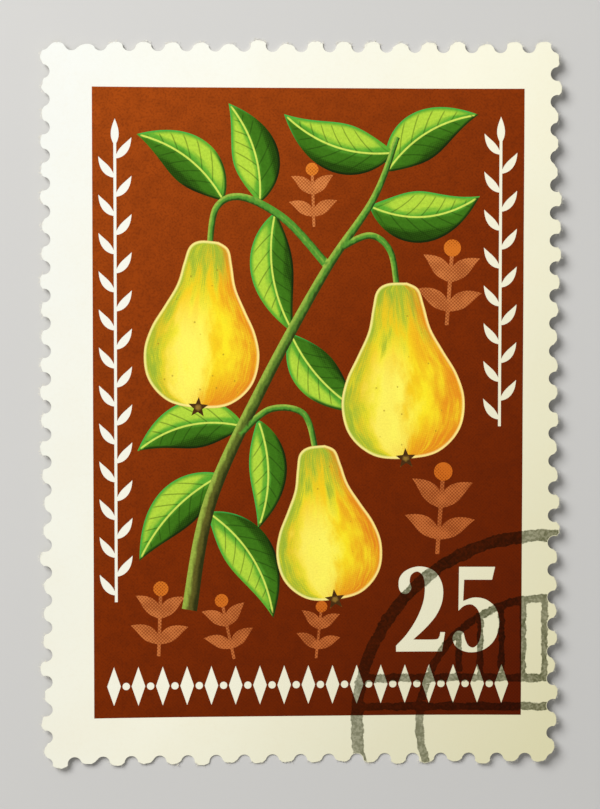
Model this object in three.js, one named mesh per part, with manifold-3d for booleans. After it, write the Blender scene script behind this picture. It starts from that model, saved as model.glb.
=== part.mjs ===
// A used postage stamp lying face up: a perforated paper sheet, printed ink films and a cancel on a corner.
// Millimetres. +Z is up out of the printed face and +Y is the top of the design.
// The origin is under the middle of the sheet, on the surface that it lies on.
import * as THREE from "three";
import { mergeVertices } from "three/addons/utils/BufferGeometryUtils.js";
import Module from "manifold-3d";

const wasm = await Module();
wasm.setup();

// Sheet and perforation
const SHEET_WIDTH = 30.0;
const SHEET_HEIGHT = 42.0;
const TEETH_ACROSS = 18;
const TEETH_UP = 26;
const HOLE_RADIUS = 0.4;
const HOLE_SEGMENTS = 6;
const CORNER_SEGMENTS = 3;
const TEAR_REACH = 0.15; // how far the torn teeth reach past the line of hole centres
const TEAR_UNEVENNESS = 0.08;
const TEAR_PEAK = [0.3, 0.7]; // where along a tooth its highest point may lie
const TEAR_SEED = 271828;

// Layers, from the surface that the stamp lies on; its gum was soaked off with the envelope
const PAPER_TOP = 0.1;
const INK_FILM = 0.02;
const INK_TOP = PAPER_TOP + INK_FILM;
const CANCEL_TOP = INK_TOP + INK_FILM;

// Curl: a flat band down the middle, and both long sides lifted
const FLAT_HALF_WIDTH = 5.0;
const CURL_STEP = 3.4;
const CURL_STEPS = 3;
const RISE_LEFT = 0.35;
const RISE_RIGHT = 0.55;

// Printed panel, a little to the right of the sheet's middle
const PANEL_WIDTH = 25.0;
const PANEL_HEIGHT = 36.6;
const PANEL_CENTRE = [0.45, 0.1];

// Scraps of an ink between motifs that are smaller than this are left out, in square millimetres
const SMALLEST_SCRAP = 0.2;

// Fruit branch: its line, from the cut end to the growing tip
const BRANCH_LINE = [[-6.5, -11.9], [-5.3, -5.6], [-2.2, 1.2], [1.4, 7.8], [4.2, 12.0], [5.6, 15.6]];
const BRANCH_HALF_WIDTHS = [0.45, 0.14];
const BRANCH_STEPS = 14;
const TWIG_LINE = [[1.5, 8.2], [-0.9, 10.8], [-3.4, 12.1], [-4.9, 11.5], [-5.3, 9.2]];
const TWIG_HALF_WIDTHS = [0.25, 0.17];
const TWIG_STEPS = 11;
const FRUIT_STALKS = [
  [[2.3, 9.2], [4.0, 9.9], [5.2, 9.0], [5.6, 6.8]],
  [[-3.6, -1.7], [-1.8, -0.2], [0.2, -0.5], [0.9, -2.8]],
];
const STALK_HALF_WIDTHS = [0.2, 0.17];
const STALK_STEPS = 7;

// Pears: top of the fruit, length, width and lean in degrees
const PEARS = [
  { top: [5.6, 7.2], length: 10.4, width: 7.2, lean: 3 },
  { top: [-5.3, 9.6], length: 9.8, width: 6.7, lean: -4 },
  { top: [0.9, -2.3], length: 9.2, width: 6.2, lean: 7 },
];
// Right-hand half of a pear of unit length and unit width, from its top down
const PEAR_HALF = [[0.08, -0.005], [0.17, -0.045], [0.21, -0.14], [0.255, -0.27], [0.35, -0.4], [0.45, -0.53],
  [0.5, -0.67], [0.465, -0.82], [0.34, -0.93], [0.16, -0.985]];
const PEAR_POINTS = 40;
const CALYX_HEIGHT = -0.99; // of a pear of unit length
const CALYX_RADIUS = 0.62;
const CALYX_NOTCH = 0.42; // of the radius
const CALYX_POINTS = 5;

// Leaves: base, tip, sideways bow of the midrib and width
const LEAVES = [
  { base: [5.4, 14.7], tip: [-1.0, 16.9], bow: 0.8, width: 2.9 },
  { base: [5.0, 13.6], tip: [10.3, 16.9], bow: 0.7, width: 2.8 },
  { base: [4.0, 11.6], tip: [10.4, 12.2], bow: -0.9, width: 3.0 },
  { base: [-4.5, 11.9], tip: [-9.5, 15.7], bow: -0.7, width: 2.8 },
  { base: [-2.4, 11.8], tip: [-4.2, 17.5], bow: -0.6, width: 2.7 },
  { base: [-1.5, 11.2], tip: [-0.4, 4.2], bow: -0.7, width: 2.5 },
  { base: [-0.6, 4.2], tip: [3.6, -0.4], bow: -0.5, width: 2.6 },
  { base: [-3.3, -1.2], tip: [-9.5, -2.6], bow: -0.8, width: 2.8 },
  { base: [-4.6, -4.0], tip: [-9.4, -9.0], bow: -0.6, width: 2.6 },
  { base: [-5.4, -6.2], tip: [-1.6, -12.4], bow: 0.8, width: 2.8 },
  { base: [-2.5, -0.8], tip: [-2.5, -7.2], bow: 0.6, width: 2.2 },
];
const LEAF_STEPS = 10;
const LEAF_FULLNESS = 0.82; // under 1, a leaf is widest nearer its base

// Pale sprigs behind the branch: foot of the stem, height and lean in degrees
const SPRIGS = [
  { foot: [8.0, -8.7], height: 5.4, lean: -4 },
  { foot: [0.9, -14.8], height: 3.4, lean: -6 },
  { foot: [-3.9, -14.8], height: 3.9, lean: 12 },
  { foot: [-8.3, -14.6], height: 4.4, lean: -2 },
  { foot: [0.75, 10.4], height: 3.7, lean: 2 },
  { foot: [8.5, 4.7], height: 5.0, lean: -4 },
];
// Pairs of leaves up a sprig of unit height: foot, and the right-hand tip
const SPRIG_PAIRS = [
  [[0, 0.16], [0.38, 0.4]],
  [[0, 0.5], [0.33, 0.8]],
];
const SPRIG_LEAF_WIDTH = 0.19;
const SPRIG_LEAF_BOW = 0.04;
const SPRIG_LEAF_STEPS = 5;
const SPRIG_STEM_HALF_WIDTH = 0.022;
const BERRY_HEIGHT = 0.9;
const BERRY_RADIUS = 0.1;
const BERRY_SIDES = 12;

// White ornament left bare in the ground ink
const GARLANDS = [
  { x: -10.75, low: -11.4, high: 16.6 },
  { x: 11.6, low: -1.2, high: 16.8 },
];
const GARLAND_STEM_HALF_WIDTH = 0.085;
const GARLAND_LEAF = { first: 0.4, spacing: 1.1, length: 1.55, width: 0.46, bow: 0.1, lean: 38, steps: 3 };
const BAND = { left: -10.9, right: 11.8, y: -16.35, lozenges: 17, height: 2.3, width: 0.8, dot: 0.22 };
const DOT_SIDES = 6;

// Denomination: height and foot of each figure, and its outline at unit height in smooth runs between corners
const FIGURE_HEIGHT = 5.1;
const FIGURE_FEET = [[5.5, -14.45], [8.75, -14.45]];
const RUN_STEPS = 2; // between two points of a run
const FIGURE_TWO = [
  [[0.02, 0], [0.55, 0]],
  [[0.55, 0], [0.585, 0.225]],
  [[0.585, 0.225], [0.53, 0.225]],
  [[0.53, 0.225], [0.515, 0.165], [0.465, 0.14], [0.22, 0.14]],
  [[0.22, 0.14], [0.37, 0.28], [0.49, 0.43], [0.555, 0.6], [0.55, 0.78], [0.46, 0.93], [0.3, 0.985],
    [0.15, 0.95], [0.06, 0.86], [0.05, 0.74], [0.09, 0.675], [0.155, 0.675], [0.195, 0.735], [0.175, 0.81],
    [0.195, 0.89], [0.265, 0.925], [0.33, 0.87], [0.35, 0.74], [0.33, 0.57], [0.255, 0.38], [0.14, 0.2],
    [0.02, 0.07]],
  [[0.02, 0.07], [0.02, 0]],
];
const FIGURE_FIVE = [
  [[0.105, 0.98], [0.52, 0.98]],
  [[0.52, 0.98], [0.485, 0.83]],
  [[0.485, 0.83], [0.165, 0.83]],
  [[0.165, 0.83], [0.155, 0.585]],
  [[0.155, 0.585], [0.28, 0.625], [0.42, 0.6], [0.53, 0.5], [0.57, 0.33], [0.52, 0.14], [0.39, 0.02],
    [0.22, -0.01], [0.08, 0.05], [0.035, 0.16], [0.085, 0.235], [0.155, 0.22], [0.18, 0.14], [0.22, 0.065],
    [0.285, 0.05], [0.345, 0.13], [0.365, 0.3], [0.335, 0.46], [0.26, 0.54], [0.17, 0.53], [0.1, 0.47]],
  [[0.1, 0.47], [0.105, 0.98]],
];

// Cancel: parts of two rings about a centre near the corner, two bars across them and hatching above the bars
const CANCEL_CENTRE = [14.3, -18.6];
const CANCEL_RINGS = [
  { radius: 11.0, half: 0.45 },
  { radius: 7.3, half: 0.33 },
];
const RING_SEGMENTS = 60;
const BAR_RISES = [2.6, 0.9]; // of the bars above the centre
const BAR_HALF_HEIGHT = 0.33;
const HATCH_LINES = 5;
const HATCH_SPACING = 1.25;
const HATCH_HALF_WIDTH = 0.28;

const COLOURS = {
  paper: [0xf6f3e6, 0.8],
  ground: [0x7a2c0b, 0.5],
  pear: [0xf6dc2e, 0.45],
  leaf: [0x4f9421, 0.45],
  branch: [0x55521a, 0.5],
  calyx: [0x35220f, 0.55],
  sprig: [0xd08050, 0.5],
  berry: [0xd0701c, 0.5],
  cancel: [0x4a4f3f, 0.7],
};

// Solids

const WELD_DISTANCE = 1e-4; // points nearer than this are one point

function solidOf(geometry) {
  geometry.deleteAttribute("normal");
  geometry.deleteAttribute("uv");
  const merged = mergeVertices(geometry, WELD_DISTANCE);
  return new wasm.Manifold(new wasm.Mesh({
    numProp: 3,
    vertProperties: merged.attributes.position.array,
    triVerts: new Uint32Array(merged.index.array),
  }));
}

function plate(points, low, high) {
  const shape = new THREE.Shape(points.map(([x, y]) => new THREE.Vector2(x, y)));
  const geometry = new THREE.ExtrudeGeometry(shape, { depth: high - low, bevelEnabled: false });
  geometry.translate(0, 0, low);
  return solidOf(geometry);
}

function film(points) {
  return plate(points, PAPER_TOP, INK_TOP);
}

function joined(solids) {
  return solids.reduce((whole, next) => whole.add(next));
}

// The separate pieces of a film, largest first, without the scraps
function piecesOf(solid) {
  const pieces = solid.decompose().filter((piece) => piece.volume() > SMALLEST_SCRAP * INK_FILM);
  return pieces.sort((a, b) => b.volume() - a.volume());
}

function boxesMeet(one, other) {
  const a = one.boundingBox();
  const b = other.boundingBox();
  return [0, 1, 2].every((axis) => a.min[axis] < b.max[axis] && b.min[axis] < a.max[axis]);
}

// Outlines

function at(point, turn, scale, [x, y]) {
  const c = Math.cos(turn) * scale;
  const s = Math.sin(turn) * scale;
  return [point[0] + c * x - s * y, point[1] + s * x + c * y];
}

function polygon([cx, cy], radius, sides) {
  return Array.from({ length: sides }, (_, i) => {
    const a = (i / sides) * 2 * Math.PI;
    return [cx + radius * Math.cos(a), cy + radius * Math.sin(a)];
  });
}

function rectangle(left, right, low, high) {
  return [[left, low], [right, low], [right, high], [left, high]];
}

// Both sides of a line, spaced from it by a changing half width. An end without width is one point.
function ribbon(curve, halfWidth, steps) {
  const right = [];
  const left = [];
  for (let i = 0; i <= steps; i++) {
    const u = i / steps;
    const p = curve.getPoint(u);
    const t = curve.getTangent(u);
    const w = halfWidth(u, t);
    if (w > WELD_DISTANCE) left.unshift([p.x - t.y * w, p.y + t.x * w]);
    right.push([p.x + t.y * w, p.y - t.x * w]);
  }
  return [...right, ...left];
}

function lineThrough(points) {
  return new THREE.SplineCurve(points.map(([x, y]) => new THREE.Vector2(x, y)));
}

function taperedStroke(points, [first, last], steps) {
  return ribbon(lineThrough(points), (u) => first + (last - first) * u, steps);
}

function leafOutline(base, tip, bow, width, steps) {
  const from = new THREE.Vector2(...base);
  const to = new THREE.Vector2(...tip);
  const along = to.clone().sub(from).normalize();
  const middle = from.clone().lerp(to, 0.5);
  middle.add(new THREE.Vector2(-along.y, along.x).multiplyScalar(2 * bow));
  const midrib = new THREE.QuadraticBezierCurve(from, middle, to);
  const half = (u) => (width / 2) * Math.sin(Math.PI * u ** LEAF_FULLNESS);
  return ribbon(midrib, half, steps);
}

const RANDOM_FACTOR = 16807;
const RANDOM_MODULUS = 2147483647;

function seededRandom(seed) {
  let state = seed;
  return () => {
    state = (state * RANDOM_FACTOR) % RANDOM_MODULUS;
    return state / RANDOM_MODULUS;
  };
}

// The sheet's outline, anticlockwise: torn teeth between half holes, and a quarter hole at each corner
function perforatedOutline() {
  const random = seededRandom(TEAR_SEED);
  const halfMouth = Math.sqrt(HOLE_RADIUS ** 2 - TEAR_REACH ** 2);
  const mouthAngle = Math.asin(TEAR_REACH / HOLE_RADIUS);
  const right = SHEET_WIDTH / 2 - TEAR_REACH;
  const top = SHEET_HEIGHT / 2 - TEAR_REACH;
  const sides = [
    { corner: [-right, -top], along: [1, 0], length: 2 * right, teeth: TEETH_ACROSS },
    { corner: [right, -top], along: [0, 1], length: 2 * top, teeth: TEETH_UP },
    { corner: [right, top], along: [-1, 0], length: 2 * right, teeth: TEETH_ACROSS },
    { corner: [-right, top], along: [0, -1], length: 2 * top, teeth: TEETH_UP },
  ];
  const outline = [];
  for (const { corner, along, length, teeth } of sides) {
    const pitch = length / teeth;
    const put = (s, out) => outline.push([
      corner[0] + along[0] * s + along[1] * out,
      corner[1] + along[1] * s - along[0] * out,
    ]);
    for (let tooth = 0; tooth < teeth; tooth++) {
      const start = tooth * pitch + halfMouth;
      const end = (tooth + 1) * pitch - halfMouth;
      const peak = TEAR_PEAK[0] + (TEAR_PEAK[1] - TEAR_PEAK[0]) * random();
      put(start, TEAR_REACH - TEAR_UNEVENNESS * random());
      put(start + (end - start) * peak, TEAR_REACH);
      put(end, TEAR_REACH - TEAR_UNEVENNESS * random());
      const atCorner = tooth === teeth - 1;
      const segments = atCorner ? CORNER_SEGMENTS : HOLE_SEGMENTS;
      const sweep = (atCorner ? Math.PI / 2 : Math.PI) + 2 * mouthAngle;
      for (let i = 1; i < segments; i++) {
        const a = Math.PI - mouthAngle + (sweep * i) / segments;
        put((tooth + 1) * pitch + HOLE_RADIUS * Math.cos(a), HOLE_RADIUS * Math.sin(a));
      }
    }
  }
  return outline;
}

// Printed motifs, each as flat ink films

function pearFilm({ top, length, width, lean }) {
  const turn = THREE.MathUtils.degToRad(lean);
  const scaled = ([x, y]) => [x * width / length, y];
  const rightHalf = PEAR_HALF.map(scaled);
  const leftHalf = rightHalf.map(([x, y]) => [-x, y]).reverse();
  const outline = new THREE.SplineCurve(
    [...rightHalf, ...leftHalf, rightHalf[0]].map((p) => new THREE.Vector2(...at(top, turn, length, p))),
  );
  return film(outline.getPoints(PEAR_POINTS).slice(0, -1).map((p) => [p.x, p.y]).reverse());
}

function calyxFilm({ top, length, lean }) {
  const turn = THREE.MathUtils.degToRad(lean);
  const [cx, cy] = at(top, turn, length, [0, CALYX_HEIGHT]);
  const star = Array.from({ length: 2 * CALYX_POINTS }, (_, i) => {
    const a = turn + Math.PI / 2 + (i * Math.PI) / CALYX_POINTS;
    const r = i % 2 ? CALYX_RADIUS * CALYX_NOTCH : CALYX_RADIUS;
    return [cx + r * Math.cos(a), cy + r * Math.sin(a)];
  });
  return film(star);
}

function branchFilm() {
  return joined([
    film(taperedStroke(BRANCH_LINE, BRANCH_HALF_WIDTHS, BRANCH_STEPS)),
    film(taperedStroke(TWIG_LINE, TWIG_HALF_WIDTHS, TWIG_STEPS)),
    ...FRUIT_STALKS.map((line) => film(taperedStroke(line, STALK_HALF_WIDTHS, STALK_STEPS))),
  ]);
}

function leafFilm({ base, tip, bow, width }) {
  return film(leafOutline(base, tip, bow, width, LEAF_STEPS));
}

function sprigFilm({ foot, height, lean }) {
  const turn = THREE.MathUtils.degToRad(lean);
  const place = (p) => at(foot, turn, height, p);
  const half = SPRIG_STEM_HALF_WIDTH * height;
  const pieces = [film(taperedStroke([[0, 0], [0, BERRY_HEIGHT]].map(place), [half, half], 1))];
  for (const [base, [x, y]] of SPRIG_PAIRS) {
    for (const side of [-1, 1]) {
      const bow = SPRIG_LEAF_BOW * side * height;
      const width = SPRIG_LEAF_WIDTH * height;
      pieces.push(film(leafOutline(place(base), place([side * x, y]), bow, width, SPRIG_LEAF_STEPS)));
    }
  }
  return joined(pieces);
}

function berryFilm({ foot, height, lean }) {
  const centre = at(foot, THREE.MathUtils.degToRad(lean), height, [0, BERRY_HEIGHT]);
  return film(polygon(centre, BERRY_RADIUS * height, BERRY_SIDES));
}

// White ornament and figures: what the ground ink leaves bare

function garland({ x, low, high }) {
  const { first, spacing, length, width, bow, lean, steps } = GARLAND_LEAF;
  const leafAt = (y, side) => {
    const turn = THREE.MathUtils.degToRad(-side * lean);
    return film(leafOutline([x, y], at([x, y], turn, length, [0, 1]), -side * bow, width, steps));
  };
  const stemHalf = GARLAND_STEM_HALF_WIDTH;
  const pieces = [film(rectangle(x - stemHalf, x + stemHalf, low, high - length / 2))];
  for (let y = low + first; y < high - length; y += spacing) {
    pieces.push(leafAt(y, pieces.length % 2 ? -1 : 1));
  }
  pieces.push(leafAt(high - length, 0));
  return joined(pieces);
}

function band() {
  const { left, right, y, lozenges, height, width, dot } = BAND;
  const pitch = (right - left) / (lozenges - 1);
  const pieces = [];
  for (let i = 0; i < lozenges; i++) {
    const x = left + i * pitch;
    pieces.push(film([[x - width / 2, y], [x, y - height / 2], [x + width / 2, y], [x, y + height / 2]]));
    if (i) pieces.push(film(polygon([x - pitch / 2, y], dot, DOT_SIDES)));
  }
  return joined(pieces);
}

function figure(runs, foot) {
  const outline = runs.flatMap((run) => {
    const steps = run.length > 2 ? (run.length - 1) * RUN_STEPS : 1;
    return lineThrough(run).getPoints(steps).slice(0, -1);
  });
  return film(outline.map((p) => at(foot, 0, FIGURE_HEIGHT, [p.x, p.y])));
}

// Cancel: struck over paper and print alike, so its underside follows them

function cancelRing({ radius, half }) {
  const ring = (r) => plate(polygon(CANCEL_CENTRE, r, RING_SEGMENTS), PAPER_TOP, CANCEL_TOP);
  return ring(radius + half).subtract(ring(radius - half));
}

function cancelMark() {
  const [cx, cy] = CANCEL_CENTRE;
  const [outer, inner] = CANCEL_RINGS.map(({ radius }) => radius);
  const block = (x, y, w, h) => plate(rectangle(x - w, x + w, y - h, y + h), PAPER_TOP, CANCEL_TOP);
  const bars = BAR_RISES.map((rise) => {
    const reach = Math.sqrt(outer ** 2 - rise ** 2);
    return block(cx, cy + rise, reach, BAR_HALF_HEIGHT);
  });
  const low = BAR_RISES[0];
  const hatching = Array.from({ length: HATCH_LINES }, (_, i) => {
    const high = Math.sqrt(inner ** 2 - (i * HATCH_SPACING) ** 2);
    return block(cx - i * HATCH_SPACING, cy + (high + low) / 2, HATCH_HALF_WIDTH, (high - low) / 2);
  });
  return joined([...CANCEL_RINGS.map(cancelRing), ...bars, ...hatching]);
}

// The curl: between two break lines a strip is sheared, so that faces that touch when flat still touch

function riseAt(x) {
  const past = Math.abs(x) - FLAT_HALF_WIDTH;
  if (past <= 0) return 0;
  const rise = x < 0 ? RISE_LEFT : RISE_RIGHT;
  return rise * (past / (SHEET_WIDTH / 2 - FLAT_HALF_WIDTH)) ** 2;
}

function curlStrips() {
  const right = Array.from({ length: CURL_STEPS + 1 }, (_, i) => FLAT_HALF_WIDTH + i * CURL_STEP);
  const lines = [...right.map((x) => -x).reverse(), ...right];
  return lines.slice(1).map((end, i) => {
    const start = lines[i];
    const slope = (riseAt(end) - riseAt(start)) / (end - start);
    const lift = riseAt(start) - slope * start;
    const slab = plate(rectangle(start, end, -SHEET_HEIGHT, SHEET_HEIGHT), -CANCEL_TOP, 2 * CANCEL_TOP);
    return { start, end, slope, lift, slab };
  });
}

function bent(solid, strips) {
  const { min, max } = solid.boundingBox();
  const crossed = strips.filter(({ start, end }) => max[0] > start && min[0] < end);
  return joined(crossed.map(({ slope, lift, slab }) => solid.intersect(slab).warp((v) => {
    v[2] += lift + slope * v[0];
  })));
}

function meshOf(name, solid, [colour, roughness]) {
  const { numProp, vertProperties, triVerts } = solid.getMesh();
  const positions = [];
  for (let i = 0; i < vertProperties.length; i += numProp) {
    positions.push(...vertProperties.subarray(i, i + 3));
  }
  const geometry = new THREE.BufferGeometry();
  geometry.setAttribute("position", new THREE.Float32BufferAttribute(positions, 3));
  geometry.setIndex([...triVerts]);
  geometry.computeVertexNormals();
  const material = new THREE.MeshStandardMaterial({ color: colour, roughness, flatShading: true });
  const mesh = new THREE.Mesh(geometry, material);
  mesh.name = name;
  return mesh;
}

// All that is inked: the panel without what is left white
function inkedPanel() {
  const [cx, cy] = PANEL_CENTRE;
  const [w, h] = [PANEL_WIDTH / 2, PANEL_HEIGHT / 2];
  const figures = [figure(FIGURE_TWO, FIGURE_FEET[0]), figure(FIGURE_FIVE, FIGURE_FEET[1])];
  const white = joined([...GARLANDS.map(garland), band(), ...figures]);
  return film(rectangle(cx - w, cx + w, cy - h, cy + h)).subtract(white);
}

// Motifs are placed from the front back and cut by those in front of them, so the films lie edge to edge
function buildStamp() {
  const stamp = new THREE.Group();
  const strips = curlStrips();
  const put = (name, solid, colour) => stamp.add(meshOf(name, bent(solid, strips), colour));
  const outline = perforatedOutline();
  put("paper_sheet", plate(outline, 0, PAPER_TOP), COLOURS.paper);

  const drawn = [];
  const print = (name, solid, colour) => {
    const inFront = drawn.filter((other) => boxesMeet(other, solid));
    const shown = piecesOf(inFront.reduce((rest, other) => rest.subtract(other), solid));
    shown.forEach((piece, i) => put(i ? `${name}_again_${i}` : name, piece, colour));
    drawn.push(solid);
  };
  PEARS.forEach((pear, i) => print(`calyx_ink_${i + 1}`, calyxFilm(pear), COLOURS.calyx));
  PEARS.forEach((pear, i) => print(`pear_ink_${i + 1}`, pearFilm(pear), COLOURS.pear));
  print("branch_ink", branchFilm(), COLOURS.branch);
  LEAVES.forEach((leaf, i) => print(`leaf_ink_${i + 1}`, leafFilm(leaf), COLOURS.leaf));
  SPRIGS.forEach((sprig, i) => print(`berry_tint_${i + 1}`, berryFilm(sprig), COLOURS.berry));
  SPRIGS.forEach((sprig, i) => print(`sprig_tint_${i + 1}`, sprigFilm(sprig), COLOURS.sprig));

  const inked = inkedPanel();
  const ground = piecesOf(inked.subtract(joined(drawn)));
  ground.forEach((piece, i) => put(`ground_ink_${i + 1}`, piece, COLOURS.ground));
  const cancel = cancelMark().intersect(plate(outline, 0, CANCEL_TOP)).subtract(inked);
  put("cancel_ink", piecesOf(cancel)[0], COLOURS.cancel);
  return stamp;
}

export default buildStamp();
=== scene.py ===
"""A used postage stamp lying face up: perforated paper, a printed fruit branch and a ring cancel.

Lengths in this file are in millimetres unless a name or a comment says otherwise, and Blender's are in metres.
"""
import functools
import math
import random

import bmesh
import bpy
import numpy as np
from bpy.props import FloatProperty, FloatVectorProperty, IntProperty, PointerProperty
from mathutils import Euler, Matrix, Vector, noise
from mathutils.geometry import delaunay_2d_cdt


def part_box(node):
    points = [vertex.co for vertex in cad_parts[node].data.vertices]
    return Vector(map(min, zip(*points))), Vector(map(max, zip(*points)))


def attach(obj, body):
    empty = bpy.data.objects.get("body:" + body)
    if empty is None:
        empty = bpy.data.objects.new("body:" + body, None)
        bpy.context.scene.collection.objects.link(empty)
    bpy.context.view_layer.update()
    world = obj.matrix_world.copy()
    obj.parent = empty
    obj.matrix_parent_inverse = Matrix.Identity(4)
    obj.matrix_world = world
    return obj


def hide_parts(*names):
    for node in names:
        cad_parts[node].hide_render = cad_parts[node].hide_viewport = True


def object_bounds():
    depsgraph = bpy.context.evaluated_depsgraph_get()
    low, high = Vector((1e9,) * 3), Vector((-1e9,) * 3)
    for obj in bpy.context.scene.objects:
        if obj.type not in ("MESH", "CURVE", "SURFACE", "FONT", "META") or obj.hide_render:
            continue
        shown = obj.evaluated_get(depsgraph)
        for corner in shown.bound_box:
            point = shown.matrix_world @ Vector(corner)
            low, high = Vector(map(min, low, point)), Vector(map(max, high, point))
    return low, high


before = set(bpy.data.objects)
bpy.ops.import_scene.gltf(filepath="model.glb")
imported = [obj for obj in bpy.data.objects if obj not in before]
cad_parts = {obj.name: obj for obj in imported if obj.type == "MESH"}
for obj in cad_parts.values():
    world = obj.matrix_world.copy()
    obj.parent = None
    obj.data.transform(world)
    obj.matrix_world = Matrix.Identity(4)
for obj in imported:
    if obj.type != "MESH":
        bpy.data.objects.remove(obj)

bl_info = {
    "name": "Used postage stamp",
    "version": (1, 0, 0),
    "blender": (4, 5, 0),
    "location": "View3D > Sidebar > Stamp",
    "description": "Makes a used, perforated postage stamp with a printed fruit branch",
    "category": "Add Mesh",
}

CAD_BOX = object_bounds()
METRE = 1000.0  # millimetres
FIT = 0.2  # how far a piece's box may differ from its solid's
TINY = 1e-12

# Layers above the surface that the stamp lies on. The solids' ink films are thicker, so that they can be made.
PAPER_TOP = 0.1
PRINT_TOP = 0.107
CANCEL_ON_PAPER = 0.102

# Curl: a flat band down the middle, and both long sides lifted
FLAT_HALF_WIDTH = 5.0
RISE_LEFT = 0.35
RISE_RIGHT = 0.55
COCKLE = 0.07  # how much less the paper lifts in places
COCKLE_LENGTH = 9.0

# Perforation
HALF_WIDTH = 15.0
HALF_HEIGHT = 21.0
TEETH_ACROSS = 18
TEETH_UP = 26
HOLE_RADIUS = 0.4
PIN_SIDES = 28
PIN_LENGTH = 1.0
EDGE_MARGIN = 0.1  # how far inside the line of hole centres still counts as on it

# Torn teeth
TEAR_REACH = 0.15  # how far they reach past the line of hole centres
TEAR_LONG = 0.17  # how much longer, or shorter, one may be than the rest
TEAR_SHORT = 0.09
TEAR_SLANT = 0.18
TEAR_SLANT_START = 0.3  # how far before a tooth's middle its slant starts, in teeth
TEAR_ROUNDING = (0.2, 0.08, 0.38)  # depth at a tooth's corner, half its flat top and the length that rounds off
TEAR_WAVES = [(0.09, 2.3, 4), (0.05, 8, 9)]  # depth, waves in a millimetre and row of the noise
TEAR_INSET = 0.006
TEAR_STEP = 0.075
CORNER_STEPS = 4  # steps at each end of a side that the corner hole takes
HOLE_LINE = (HALF_WIDTH - TEAR_REACH, HALF_HEIGHT - TEAR_REACH)
BULGE_OUT = (-0.05, 0.02)  # how far the middle of a torn edge stands out
BULGE_HEIGHT = (0.35, 0.65)  # how high that middle lies, as a share of the thickness

# Loose fibres on the torn tips
FIBRE_THICKNESS = 0.012
FIBRE_SHAPE = [(0, -0.3), (0.35, 0.25), (0, 0.7)]  # start, bend and end of one unit long: sideways and along
FIBRE_SIZES = (0.35, 1.0)
FIBRE_TILT = 0.9  # radians, like the turn
FIBRE_TURN = 6.28
TIP_MARGIN = 0.02  # how far inside the line of hole centres they still grow

# Printed panel
PANEL_HALF = (12.5, 18.3)
PANEL_CENTRE = (0.45, 0.1)

# Fruit branch
TWIG_AGE = 0.7  # a twig starts as young as this share of the branch
BRANCH_LINE = [(-6.5, -11.9), (-5.3, -5.6), (-2.2, 1.2), (1.4, 7.8), (4.2, 12.0), (5.6, 15.6)]
TWIG_LINE = [(1.5, 8.2), (-0.9, 10.8), (-3.4, 12.1), (-4.9, 11.5), (-5.3, 9.2)]
FRUIT_STALKS = [
    [(2.3, 9.2), (4.0, 9.9), (5.2, 9.0), (5.6, 6.8)],
    [(-3.6, -1.7), (-1.8, -0.2), (0.2, -0.5), (0.9, -2.8)],
]
STROKES = [(BRANCH_LINE, 0.45, 0.14), (TWIG_LINE, 0.25, 0.17)] + [(line, 0.2, 0.17) for line in FRUIT_STALKS]

# Pears: top of the fruit, length, width and lean in degrees
PEARS = [((5.6, 7.2), 10.4, 7.2, 3), ((-5.3, 9.6), 9.8, 6.7, -4), ((0.9, -2.3), 9.2, 6.2, 7)]
# Right-hand half of a pear of unit length and unit width, from its top down
PEAR_HALF = [(0.08, -0.005), (0.17, -0.045), (0.21, -0.14), (0.255, -0.27), (0.35, -0.4), (0.45, -0.53),
             (0.5, -0.67), (0.465, -0.82), (0.34, -0.93), (0.16, -0.985)]
NARROWEST = 0.02  # least half width that a place across the fruit is measured by, in its lengths
SIDE_LIMIT = 1.2
CALYX_HEIGHT = -0.99
CALYX_RADIUS = 0.62
CALYX_NOTCH = 0.42
CALYX_POINTS = 5

# Leaves: base, tip, sideways bow of the midrib and width
LEAVES = [
    ((5.4, 14.7), (-1.0, 16.9), 0.8, 2.9),
    ((5.0, 13.6), (10.3, 16.9), 0.7, 2.8),
    ((4.0, 11.6), (10.4, 12.2), -0.9, 3.0),
    ((-4.5, 11.9), (-9.5, 15.7), -0.7, 2.8),
    ((-2.4, 11.8), (-4.2, 17.5), -0.6, 2.7),
    ((-1.5, 11.2), (-0.4, 4.2), -0.7, 2.5),
    ((-0.6, 4.2), (3.6, -0.4), -0.5, 2.6),
    ((-3.3, -1.2), (-9.5, -2.6), -0.8, 2.8),
    ((-4.6, -4.0), (-9.4, -9.0), -0.6, 2.6),
    ((-5.4, -6.2), (-1.6, -12.4), 0.8, 2.8),
    ((-2.5, -0.8), (-2.5, -7.2), 0.6, 2.2),
]
LEAF_FULLNESS = 0.82

# Pale sprigs behind the branch: foot of the stem, height and lean in degrees
SPRIGS = [((8.0, -8.7), 5.4, -4), ((0.9, -14.8), 3.4, -6), ((-3.9, -14.8), 3.9, 12),
          ((-8.3, -14.6), 4.4, -2), ((0.75, 10.4), 3.7, 2), ((8.5, 4.7), 5.0, -4)]
SPRIG_PAIRS = [((0, 0.16), (0.38, 0.4)), ((0, 0.5), (0.33, 0.8))]
SPRIG_LEAF_WIDTH = 0.19
SPRIG_LEAF_BOW = 0.04
SPRIG_STEM_HALF = 0.022
BERRY_HEIGHT = 0.9
BERRY_RADIUS = 0.1

# White ornament left bare in the ground ink
GARLANDS = [(-10.75, -11.4, 16.6), (11.6, -1.2, 16.8)]  # x, low and high
GARLAND_STEM_HALF = 0.085
GARLAND_FIRST = 0.4
GARLAND_SPACING = 1.1
GARLAND_LEAF = (1.55, 0.46, 0.1, 38)  # length, width, bow and lean in degrees
BAND_ENDS = (-10.9, 11.8)
BAND_Y = -16.35
LOZENGES = 17
LOZENGE = (0.8, 2.3)
BAND_DOT = 0.22

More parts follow.
